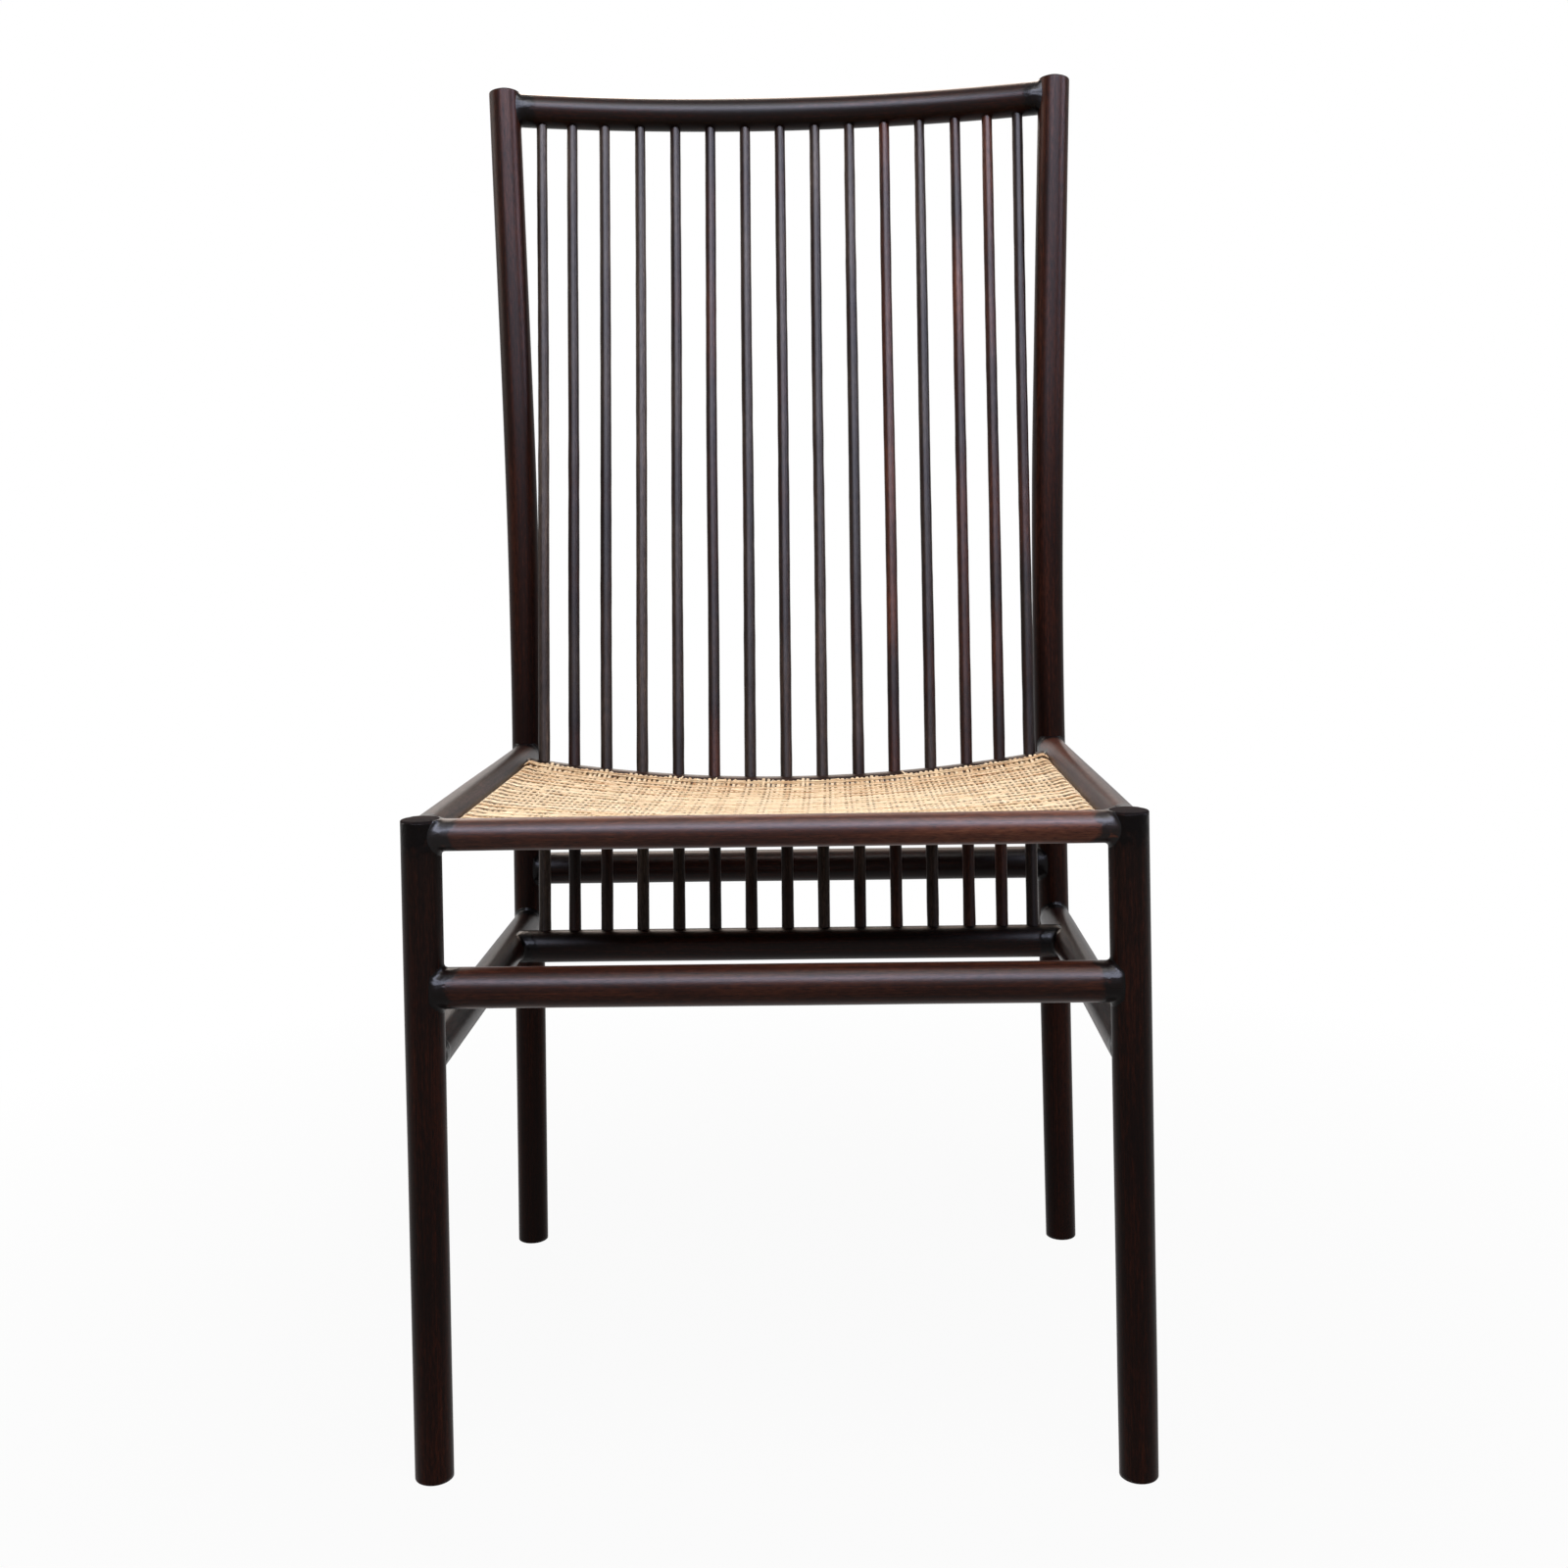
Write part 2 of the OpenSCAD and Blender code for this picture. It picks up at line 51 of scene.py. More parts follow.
CAMERA_PITCH = math.radians(8.394)
CAMERA_ROLL = math.radians(-1.02)
CAMERA_LENS = 40.26
ROOM_LIGHT = 0.16
FLOOR_RADIUS = 9.0
PAPER_GREY = "#9C9C9B"
# Near the chair the floor shows a little of its own grey, and with it the chair's shadow
SHADOW_WHITE = 0.95
SHADOW_NEAR = 0.4
SHADOW_FAR = 1.1
LIT_SPOT = Vector((0, 0, 0.6))


def linear(code):
    """The linear colour of an sRGB hex value."""
    parts = [int(code[i:i + 2], 16) / 255 for i in (1, 3, 5)]
    return [c / 12.92 if c <= 0.04045 else ((c + 0.055) / 1.055) ** 2.4 for c in parts] + [1.0]


def put(tree, kind, links=None, **settings):
    """Adds a node with its settings, and links or sets its inputs."""
    made = tree.nodes.new(kind)
    for name, value in settings.items():
        setattr(made, name, value)
    for key, value in (links or {}).items():
        if isinstance(value, bpy.types.Node):
            value = value.outputs[0]
        if isinstance(value, bpy.types.NodeSocket):
            tree.links.new(value, made.inputs[key])
        else:
            made.inputs[key].default_value = value
    return made


def empty_tree(owner):
    """An owner's node tree, switched on and cleared."""
    owner.use_nodes = True
    owner.node_tree.nodes.clear()
    return owner.node_tree


def placed(name, data):
    """A new object in the scene."""
    made = bpy.data.objects.new(name, data)
    bpy.context.scene.collection.objects.link(made)
    return made


def seen_directly(tree):
    """1 for what the camera, a reflection or a view through glass sees, otherwise 0."""
    path = put(tree, "ShaderNodeLightPath")
    seen = path.outputs["Is Camera Ray"]
    for ray in ("Is Glossy Ray", "Is Transmission Ray"):
        seen = put(tree, "ShaderNodeMath", {0: seen, 1: path.outputs[ray]}, operation="MAXIMUM")
    return seen


camera_data = bpy.data.cameras.new("camera")
camera_data.sensor_width = 36
camera_data.lens = CAMERA_LENS
camera = placed("camera", camera_data)
camera.matrix_world = (
    Matrix.Translation(CAMERA_PLACE)
    @ Matrix.Rotation(-CAMERA_YAW, 4, "Z")
    @ Matrix.Rotation(math.pi / 2 - CAMERA_PITCH, 4, "X")
    @ Matrix.Rotation(CAMERA_ROLL, 4, "Z")
)
bpy.context.scene.camera = camera
bpy.context.scene.view_settings.view_transform = "Standard"

world = bpy.data.worlds.new("studio")
bpy.context.scene.world = world
tree = empty_tree(world)
glow = put(tree, "ShaderNodeMapRange", {
    "Value": seen_directly(tree), "To Min": ROOM_LIGHT, "To Max": 1.0,
})
backdrop = put(tree, "ShaderNodeBackground", {"Color": (1, 1, 1, 1), "Strength": glow})
put(tree, "ShaderNodeOutputWorld", {"Surface": backdrop})


def paper():
    """Matt grey backdrop paper, which shows as near white and keeps a soft shadow."""
    made = bpy.data.materials.new("backdrop_paper")
    tree = empty_tree(made)
    matt = put(tree, "ShaderNodeBsdfDiffuse", {"Color": linear(PAPER_GREY), "Roughness": 0.5})
    bright = put(tree, "ShaderNodeEmission", {"Color": (1, 1, 1, 1), "Strength": 1.0})
    place = put(tree, "ShaderNodeTexCoord")
    distance = put(tree, "ShaderNodeVectorMath", {
        0: place.outputs["Object"],
    }, operation="LENGTH")
    away = put(tree, "ShaderNodeMapRange", {
        "Value": distance.outputs["Value"], "From Min": SHADOW_NEAR, "From Max": SHADOW_FAR,
        "To Min": SHADOW_WHITE, "To Max": 1.0,
    })
    share = put(tree, "ShaderNodeMath", {
        0: seen_directly(tree), 1: away.outputs["Result"],
    }, operation="MULTIPLY")
    mixed = put(tree, "ShaderNodeMixShader", {0: share, 1: matt, 2: bright})
    put(tree, "ShaderNodeOutputMaterial", {"Surface": mixed})
    return made


floor_mesh = bpy.data.meshes.new("floor")
rim = [
    (FLOOR_RADIUS * math.cos(math.radians(a)), FLOOR_RADIUS * math.sin(math.radians(a)), 0)
    for a in range(0, 360, 6)
]
floor_mesh.from_pydata(rim, [], [range(len(rim))])
floor_mesh.materials.append(paper())
floor = placed("floor", floor_mesh)


def soft_lamp(name, place, width, height, power, colour, gloss_only=False):
    """A rectangular soft box that faces the chair, and that no view shows. One that is
    for gloss only adds a highlight and leaves the level of the light as it is."""
    data = bpy.data.lights.new(name, "AREA")
    data.shape = "RECTANGLE"
    data.size = width
    data.size_y = height
    data.energy = power
    data.color = linear(colour)[:3]
    lamp = placed(name, data)
    lamp.location = place
    lamp.rotation_euler = (LIT_SPOT - Vector(place)).to_track_quat("-Z", "Y").to_euler()
    lamp.visible_camera = False
    lamp.visible_diffuse = not gloss_only


soft_lamp("overhead_lamp", (0.2, -0.85, 2.5), 1.2, 1.0, 50, "#FFFCF8")
soft_lamp("rear_lamp", (-0.8, 2.3, 2.2), 1.4, 1.2, 26, "#FFF8F0")
soft_lamp("front_gloss", (0.6, -4.0, 4.5), 7.0, 2.4, 2000, "#DDE5FF", gloss_only=True)
soft_lamp("right_gloss", (2.6, -0.45, 2.3), 1.0, 1.2, 130, "#D5E0FF", gloss_only=True)
soft_lamp("left_gloss", (-2.6, 0.6, 2.0), 1.2, 1.6, 40, "#FFF6EE", gloss_only=True)
soft_lamp("rear_gloss", (-0.4, 2.2, 2.4), 3.0, 1.6, 70, "#FFE4D0", gloss_only=True)


# Front legs
# Two round legs, turned from dark rosewood and rubbed with oil. They lean in from the
# foot to the seat and are cut off level with the seat frame.
UP = Vector((0, 0, 1))
BACK = Vector((0, 1, 0))
LEG_R = 0.013
SIDES = 48
ROW_STEP = 0.006
SEAT_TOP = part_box("front_leg_right")[1].z
FOOT_EDGE = 0.0012
LEG_TOP_EDGE = 0.0016
LEG_TOP_CROWN = 0.0002
LEG_STAIN = 0.03
# Turned wood waves slightly, except close to its ends
WAVE_HEIGHT = 0.00018
WAVES_PER_METRE = 9
WAVE_FADE = 0.03
# A coped end is worked out over this much of the rod, and stained over less of it
COPE_LEAD = 0.03
STAIN_REACH = 0.014
FILLET = 0.003
FILLET_STEPS = 6
# The fillet's edge goes on a little, just under the surface of the member that it meets
FILLET_TUCK = 0.001
FILLET_SINK = 0.0008
# A rod as thick as its host would grow long ears round it, so it stops this far before
# the host's axis
EAR_STOP = 0.0075
FIGURE_STOPS = (0.36, 0.49, 0.6, 0.72)
DARK_BROWN = ("#090403", "#190B08", "#33160E", "#573022")
REDDISH = ("#2A130D", "#53291C", "#7A4632", "#93604A")
GREYISH = ("#241C19", "#463A33", "#675850", "#857367")
PORE_BLACK = "#0B0605"
STAIN_BLACK = "#0A0606"
GLUE_BLACK = "#060303"
END_BLACK = "#0A0505"
# Each pattern's size in metres, twice across the rod and once along it: growth bands of 6
# by 260 mm, streaks, pores, patches of lighter and darker wood, flecks, and blots of stain
ROSEWOOD_PATTERNS = {
    "bands": ((0.004, 0.004, 0.16), {
        "Scale": 0.62, "Detail": 5.0, "Roughness": 0.62, "Distortion": 0.9,
    }),
    "streaks": ((0.0009, 0.0009, 0.06), {"Detail": 3.0, "Roughness": 0.6}),
    "pores": ((0.00035, 0.00035, 0.007), {"Detail": 1.0}),
    "patches": ((0.03, 0.03, 0.15), {"Detail": 2.0}),
    "flecks": ((0.0016, 0.0016, 0.008), {"Detail": 2.0}),
    "blots": ((0.006, 0.006, 0.006), {"Detail": 2.0}),
}
# How far apart the members lie in the wood that the grain is cut from
GRAIN_STEP = (0.37, 0.21, 0.83)

# A member's end is coped to a host or has a cut. A host is a round member: a point of its
# axis, the axis's way, its radius and, for a post's top, how far past the point a fillet may go
Host = namedtuple("Host", "point way radius limit", defaults=(None,))
Cut = namedtuple("Cut", "plane edge crown")


def line_row(path, lengths, s, reference, turn=0):
    """A path's place and way at a length along it, and the way out to one generator line."""
    k = 0
    while k < len(path) - 2 and lengths[k + 1] < s:
        k += 1
    step = path[k + 1] - path[k]
    place = path[k] + step * ((s - lengths[k]) / step.length)
    along = step.normalized()
    if 0 < k and s - lengths[k] < step.length / 2:
        share = 0.5 + (s - lengths[k]) / step.length
        along = (path[k] - path[k - 1]).normalized().lerp(along, share).normalized()
    elif k < len(path) - 2 and s - lengths[k] >= step.length / 2:
        share = (s - lengths[k]) / step.length - 0.5
        along = along.lerp((path[k + 2] - path[k + 1]).normalized(), share).normalized()
    across = (reference - along * reference.dot(along)).normalized()
    return place, along, across * math.cos(turn) + along.cross(across) * math.sin(turn)


def meets(source, direction, host):
    """How far a ray runs before it meets a straight round host. One that would pass beside
    the host, or only graze it, stops a little before the host's axis."""
    way = host.way.normalized()
    gap = source - host.point
    u = direction - way * direction.dot(way)
    w = gap - way * gap.dot(way)
    a, b, c = u.dot(u), u.dot(w), w.dot(w) - host.radius ** 2
    half = math.sqrt(max(b * b - a * c, 0)) / a
    return -b / a - max(half, EAR_STOP)


def on_host(place, host, below=0):
    """The point nearest to a place on a round host's surface, or a little below it."""
    way = host.way.normalized()
    gap = place - host.point
    foot = host.point + way * gap.dot(way)
    return foot + (place - foot).normalized() * (host.radius - below)


def rounded(body, corner, seat):
    """The points of a small round about a corner, from one surface to the next."""
    bend = []
    for k in range(1, FILLET_STEPS + 1):
        t = k / FILLET_STEPS
        bend.append(body * (1 - t) ** 2 + corner * 2 * t * (1 - t) + seat * t ** 2)
    return bend


def coped_end(path, lengths, reference, turn, radius, host, at_start):
    """One generator line's end at a host: where the body stops, and the fillet's points."""
    total = lengths[-1]
    lead = min(COPE_LEAD, total / 3)
    s = lead if at_start else total - lead
    place, along, outward = line_row(path, lengths, s, reference, turn)
    way = -along if at_start else along
    source = place + outward * radius
    run = max(min(meets(source, way, host), lead), 0.001)
    corner = source + way * run
    seat = on_host(corner + outward * FILLET, host)
    bend = rounded(source + way * (run - FILLET), corner, seat)
    bend.append(on_host(seat + way * FILLET_TUCK, host, FILLET_SINK))
    # Where a rail lies flush with the top of a leg, its fillet stays flush too
    if source.z < SEAT_TOP + LEG_TOP_EDGE:
        bend = [Vector((p.x, p.y, min(p.z, SEAT_TOP))) for p in bend]
    # Beside the top of a post, it stays below the post's rounded edge
    if host.limit is not None:
        up = host.way.normalized()
        bend = [p - up * max(0, (p - host.point).dot(up) - host.limit) for p in bend]
    stop = lead - run + FILLET
    return (stop if at_start else total - stop), bend


def cut_end(path, lengths, reference, turn, radius, cut, at_start):
    """One generator line's end at a flat or crowned cut with a rounded edge."""
    total = lengths[-1]
    place, along, outward = line_row(path, lengths, 0 if at_start else total, reference, turn)
    shift = -radius * outward.dot(cut.plane) / along.dot(cut.plane)
    way = -along if at_start else along
    corner = place + outward * radius + along * shift
    inward = -(outward - cut.plane * outward.dot(cut.plane)).normalized()
    seat = corner + inward * cut.edge
    bend = rounded(corner - way * cut.edge, corner, seat)
    for share in (0.8, 0.6, 0.4, 0.2):
        bend.append(place.lerp(seat, share) + way * cut.crown * (1 - share ** 2))
    stop = cut.edge - shift if at_start else cut.edge + shift
    return (stop if at_start else total - stop), bend


def store(mesh, name, values):
    """Stores a number at each point of a mesh, for the material to read."""
    mesh.attributes.new(name, "FLOAT", "POINT").data.foreach_set("value", values)


def member(node, path, radius, start, end, wood, seed, tone, reference=UP, stained=0):
    """Makes a round wooden member along a path, with a host or a cut at each end. Its tone
    may change from start to end, and stain may darken it over a length below its end."""
    lengths = [0.0]
    for a, b in zip(path, path[1:]):
        lengths.append(lengths[-1] + (b - a).length)
    total = lengths[-1]
    count = max(8, round(total / ROW_STEP))
    columns = []
    for j in range(SIDES):
        turn = math.tau * j / SIDES
        ends = []
        for at_start, kind in ((True, start), (False, end)):
            make = coped_end if isinstance(kind, Host) else cut_end
            ends.append(make(path, lengths, reference, turn, radius, kind, at_start))
        columns.append((turn, ends[0], ends[1]))
    points, grain, joint, shares = [], [], [], []

    def add(point, local, near):
        """Adds a point, its place in the wood and how near a joint it is: -1 on a cut, 0 in
        the open, up to 1 on the way to a joint and on to 2 across the fillet."""
        points.append(point)
        grain.append(local + Vector([step * seed for step in GRAIN_STEP]))
        joint.append(near)
        shares.append(min(max(local.z / total, 0), 1))
        return len(points) - 1

    def end_ring(side, k):
        """A ring of points on the fillet or the cut at one end."""
        coped = isinstance((start, end)[side], Host)
        near = 1 + min(k + 1, FILLET_STEPS) / FILLET_STEPS if coped else -1
        ring = []
        for turn, low, high in columns:
            stop, bend = (low, high)[side]
            local = Vector((radius * math.cos(turn), radius * math.sin(turn), stop))
            ring.append(add(bend[k], local, near))
        return ring

    def body_ring(share):
        """A ring of points between the ends. The rings crowd together towards both."""
        eased = 0.35 * share + 0.65 * (0.5 - 0.5 * math.cos(math.pi * share))
        ring = []
        for turn, low, high in columns:
            s = low[0] + (high[0] - low[0]) * eased
            place, along, outward = line_row(path, lengths, s, reference, turn)
            from_start, from_end = s - low[0], high[0] - s
            fade = min(1, min(from_start, from_end) / WAVE_FADE)
            wave = noise.noise(Vector((seed * 3.1, s * WAVES_PER_METRE, 0.3))) * WAVE_HEIGHT * fade
            near = 0
            if isinstance(start, Host):
                near = max(near, 1 - from_start / STAIN_REACH)
            if isinstance(end, Host):
                near = max(near, 1 - from_end / STAIN_REACH)
            if stained:
                near = max(near, 1 - from_end / stained)
            local = Vector((radius * math.cos(turn), radius * math.sin(turn), s))
            ring.append(add(place + outward * (radius + wave), local, near))
        return ring

    tips = []
    for side, kind in enumerate((start, end)):
        s = total * side
        place, along = line_row(path, lengths, s, reference)[:2]
        if isinstance(kind, Cut):
            place = place + along * kind.crown * (1 if side else -1)
        tips.append(add(place, Vector((0, 0, s)), -1 if isinstance(kind, Cut) else 2))
    start_bend, end_bend = columns[0][1][1], columns[0][2][1]
    rows = [end_ring(0, k) for k in reversed(range(len(start_bend)))]
    rows += [body_ring(i / count) for i in range(count + 1)]
    rows += [end_ring(1, k) for k in range(len(end_bend))]
    neighbours = [(j, (j + 1) % SIDES) for j in range(SIDES)]
    faces = []
    for low, high in zip(rows, rows[1:]):
        faces += [(low[j], low[n], high[n], high[j]) for j, n in neighbours]
    for j, n in neighbours:
        faces.append((tips[0], rows[0][n], rows[0][j]))
        faces.append((tips[1], rows[-1][j], rows[-1][n]))
    mesh = bpy.data.meshes.new(node + "_wood")
    mesh.from_pydata(points, [], faces)
    mesh.polygons.foreach_set("use_smooth", [True] * len(faces))
    mesh.attributes.new("grain", "FLOAT_VECTOR", "POINT").data.foreach_set(
        "vector", [c for p in grain for c in p])
    store(mesh, "joint", joint)
    store(mesh, "tone", [tone[0] + (tone[1] - tone[0]) * share for share in shares])
    hand_in(placed(node + "_wood", mesh), wood, "rosewood_frame", node)


def figured(tree, figure, colours):
    """Wood colours, from the dark bands to the light ones, spread over the figure."""
    ramp = put(tree, "ShaderNodeValToRGB", {"Fac": figure})
    stops = ramp.color_ramp.elements
    stops[0].position, stops[0].color = FIGURE_STOPS[0], linear(colours[0])
    stops[1].position, stops[1].color = FIGURE_STOPS[3], linear(colours[3])
    for place, code in zip(FIGURE_STOPS[1:3], colours[1:3]):
        stops.new(place).color = linear(code)
    return ramp.outputs["Color"]


def grain_patterns(tree, patterns):
    """The patterns that run along a rod or a strand, in its own straight space, so that
    they follow every bend and show end grain on a cut. Each has its real size."""
    grain = put(tree, "ShaderNodeAttribute", attribute_name="grain").outputs["Vector"]
    found = {}
    for name, (sizes, look) in patterns.items():
        place = put(tree, "ShaderNodeMapping", {
            "Vector": grain, "Scale": [1 / size for size in sizes],
        })
        pattern = put(tree, "ShaderNodeTexNoise", {"Vector": place, "Scale": 1.0, **look})
        found[name] = pattern.outputs["Fac"]
    return grain, found


def rosewood(name, colours, roughness, polish):
    """Rosewood, turned and oiled: near black with red-brown grain that runs along the
    member, fine dark pores, and a satin gloss."""
    made = bpy.data.materials.new(name)
    tree = empty_tree(made)
    grain, wood = grain_patterns(tree, ROSEWOOD_PATTERNS)
    joint = put(tree, "ShaderNodeAttribute", attribute_name="joint").outputs["Fac"]
    tone = put(tree, "ShaderNodeAttribute", attribute_name="tone").outputs["Fac"]
    figure = wood["bands"]
    for pattern, share in (("streaks", 0.36), ("flecks", 0.3), ("patches", 0.25)):
        figure = put(tree, "ShaderNodeMix", {
            "Factor": share, "A": figure, "B": wood[pattern],
        }, data_type="FLOAT")
    # A tone above 0 gives lighter, redder wood, and one below 0 greyer wood
    colour = figured(tree, figure, colours)
    for furthest, tint in ((1.0, REDDISH), (-1.0, GREYISH)):
        share = put(tree, "ShaderNodeMapRange", {
            "Value": tone, "From Min": 0.0, "From Max": furthest,
        })
        colour = put(tree, "ShaderNodeMix", {
            "Factor": share, "A": colour, "B": figured(tree, figure, tint),
        }, data_type="RGBA", blend_type="MIX").outputs["Result"]
    pits = put(tree, "ShaderNodeMapRange", {
        "Value": wood["pores"], "From Min": 0.62, "From Max": 0.72,
    })
    # Stain blackens the last 10 mm or so at a joint, with an uneven edge
    ragged = put(tree, "ShaderNodeMath", {
        0: wood["blots"], 1: 2.6, 2: -0.3,
    }, operation="MULTIPLY_ADD")
    reach = put(tree, "ShaderNodeMath", {0: ragged, 1: joint}, operation="MULTIPLY")
    stain = put(tree, "ShaderNodeMapRange", {
        "Value": reach, "From Min": 0.2, "From Max": 0.6, "To Max": 0.94,
    }, interpolation_type="SMOOTHSTEP")
    # Glue shows as a thin black line at the fillet's edge
    glue = put(tree, "ShaderNodeMapRange", {"Value": joint, "From Min": 1.45, "From Max": 1.95})
    # End grain drinks the oil, so it is darker and duller
    soaked = put(tree, "ShaderNodeMapRange", {
        "Value": joint, "From Min": -0.2, "From Max": -1.0, "To Max": 0.75,
    })
    dull = put(tree, "ShaderNodeMapRange", {
        "Value": joint, "From Min": -0.5, "From Max": -1.0, "To Max": 0.55,
    })
    for share, black in (
        (pits, PORE_BLACK), (stain, STAIN_BLACK), (glue, GLUE_BLACK), (soaked, END_BLACK),
    ):
        colour = put(tree, "ShaderNodeMix", {
            "Factor": share, "A": colour, "B": linear(black),
        }, data_type="RGBA", blend_type="MIX").outputs["Result"]
    sheen = put(tree, "ShaderNodeMapRange", {
        "Value": figure, "From Min": 0.35, "From Max": 0.7,
        "To Min": roughness + 0.05, "To Max": roughness - 0.04,
    })
    duller = put(tree, "ShaderNodeMath", {0: sheen, 1: dull}, operation="ADD")
    # The stain dries to a harder, glossier skin
    gloss = put(tree, "ShaderNodeMath", {
        0: stain, 1: -0.05, 2: duller,
    }, operation="MULTIPLY_ADD")
    pores_height = put(tree, "ShaderNodeMix", {
        "Factor": 0.5, "A": wood["streaks"], "B": pits,
    }, data_type="FLOAT")
    height = put(tree, "ShaderNodeMix", {
        "Factor": 0.4, "A": pores_height, "B": wood["flecks"],
    }, data_type="FLOAT")
    relief = put(tree, "ShaderNodeBump", {
        "Strength": 0.25, "Distance": 0.0002, "Height": height,
    }, invert=True)
    # The stained zone was pared with a knife, which leaves small facets about 4 mm wide
    facet_place = put(tree, "ShaderNodeMapping", {
        "Vector": grain, "Scale": (1 / 0.004, 1 / 0.004, 1 / 0.005),
    })
    facets = put(tree, "ShaderNodeTexVoronoi", {"Vector": facet_place, "Scale": 1.0})
    facet_height = put(tree, "ShaderNodeMath", {
        0: facets.outputs["Distance"], 1: stain,
    }, operation="MULTIPLY")
    pared = put(tree, "ShaderNodeBump", {
        "Strength": 0.32, "Distance": 0.0008, "Height": facet_height, "Normal": relief,
    })
    shader = put(tree, "ShaderNodeBsdfPrincipled", {
        "Base Color": colour, "Roughness": gloss, "IOR": 1.33,
        "Specular IOR Level": polish, "Normal": pared,
    })
    put(tree, "ShaderNodeOutputMaterial", {"Surface": shader})
    return made


def hand_in(piece, material, slot, *nodes):
    """Gives a finished piece its material, hangs it under the root body, and hides the parts of the
    model that it stands for.
    """
    piece.data.materials.clear()
    piece.data.materials.append(material)
    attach(piece, "root")
    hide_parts(*nodes)


LEG_WOOD = rosewood("oiled_rosewood_leg", DARK_BROWN, 0.34, 0.09)


def leg_axis(side):
    """The foot and the top of a front leg's axis."""
    low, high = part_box("front_leg_" + side)
    y = (low.y + high.y) / 2
    foot_x, top_x = high.x - LEG_R, low.x + LEG_R
    if side == "left":
        foot_x, top_x = top_x, foot_x
    return Vector((foot_x, y, 0)), Vector((top_x, y, SEAT_TOP))


front_legs = {}
for number, side in enumerate(("left", "right")):
    foot, top = leg_axis(side)
    front_legs[side] = Host(foot, top - foot, LEG_R)
    member(
        "front_leg_" + side, [foot, top], LEG_R,
        Cut(UP, FOOT_EDGE, 0), Cut(UP, LEG_TOP_EDGE, LEG_TOP_CROWN), LEG_WOOD,
        seed=1 + number, tone=(0.05, -0.05), reference=BACK, stained=LEG_STAIN)


# Rear legs and posts
# One long rosewood rod each: a straight rear leg, then a slow bend back and a little
# outwards above the seat, then straight up to a low rounded top.
POST_R = 0.013
POST_CROWN = 0.0035
POST_EDGE = 0.001
BEND_LENGTH = 0.3
BEND_ANGLE = math.radians(9.2)
BEND_TURNOUT = math.radians(21)
BEND_STEPS = 60


def post_path(side):
    """The axis of a rear leg and its post, and the way that the post's top points."""
    low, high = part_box("rear_post_" + side)
    sign = 1 if side == "right" else -1
    foot, top = leg_axis(side)
    foot = Vector((foot.x, low.y + POST_R, 0))
    seat = Vector((top.x, low.y + POST_R, SEAT_TOP))
    rise = (seat - foot).normalized()
    tilt = math.acos(rise.z)
    out = Vector((
        sign * math.sin(BEND_TURNOUT) * math.cos(tilt),
        math.cos(BEND_TURNOUT),
        math.sin(BEND_TURNOUT) * math.sin(tilt),
    ))
    bend_r = BEND_LENGTH / BEND_ANGLE
    path = [foot]
    for i in range(BEND_STEPS + 1):
        turn = BEND_ANGLE * i / BEND_STEPS
        path.append(seat + out * bend_r * (1 - math.cos(turn)) + rise * bend_r * math.sin(turn))
    up = out * math.sin(BEND_ANGLE) + rise * math.cos(BEND_ANGLE)
    straight = (high.z - path[-1].z) / up.z
    path.append(path[-1] + up * (straight - POST_CROWN))
    return path, up


rear_legs, post_tops = {}, {}
for number, side in enumerate(("left", "right")):
    path, up = post_path(side)
    rear_legs[side] = Host(path[0], path[1] - path[0], POST_R)
    post_tops[side] = Host(path[-1], up, POST_R, limit=-POST_EDGE)
    member(
        "rear_post_" + side, path, POST_R,
        Cut(UP, FOOT_EDGE, 0), Cut(up, POST_EDGE, POST_CROWN), LEG_WOOD,
        seed=3 + number, tone=(0.05, 0.15), reference=BACK)


# Seat frame, stretchers and the two rails of the back
# Round rosewood rods, coped at their ends to lie against the member that they meet and
# glued there on round tenons. A small fillet and a thin dark glue line show at each joint.
RAIL_WOOD = rosewood("oiled_rosewood_rail", DARK_BROWN, 0.33, 0.16)
# Clothes and hands have worn the front rail, so its highlight is broader and paler
WORN_WOOD = rosewood("oiled_rosewood_worn", DARK_BROWN, 0.4, 0.27)
WRAP = 0.007
ARC_STEPS = 80
REAR_RAIL_R = 0.011
# Tones from front to rear. The left side rail is greyer than the right one
SIDE_RAIL_TONES = {"left": (-0.25, 0.0), "right": (0.15, 0.35)}


def span_x(node, hosts, seed, tone, wood):
    """A straight member along X, between a left and a right host. Its path only has to
    end somewhere inside both, because a cope is worked out from the member's own side."""
    low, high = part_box(node)
    y, z = (low.y + high.y) / 2, (low.z + high.z) / 2
    ends = []
    for host, sign in zip(hosts, (-1, 1)):
        ends.append(Vector((host.point.x - sign * (host.radius - WRAP), y, z)))
    member(node, ends, (high.z - low.z) / 2, *hosts, wood, seed, tone)


def depth_y(node, side, seed, tone):
    """A straight member along Y, from a front leg to a rear leg. It is a host itself."""
    low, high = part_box(node)
    z = (low.z + high.z) / 2
    front, rear = front_legs[side], rear_legs[side]
    x = front.point.x + front.way.x * z / front.way.z
    ends = [
        Vector((x, front.point.y + LEG_R - WRAP, z)),
        Vector((x, rear.point.y - POST_R + WRAP, z)),
    ]
    radius = (high.x - low.x) / 2
    member(node, ends, radius, front, rear, RAIL_WOOD, seed, tone)
    return Host(ends[0], ends[1] - ends[0], radius)


side_rails, side_stretchers = {}, {}
for number, side in enumerate(("left", "right")):
    side_rails[side] = depth_y(
        "side_seat_rail_" + side, side, 5 + number, SIDE_RAIL_TONES[side])
    side_stretchers[side] = depth_y("side_stretcher_" + side, side, 7 + number, (0, 0))

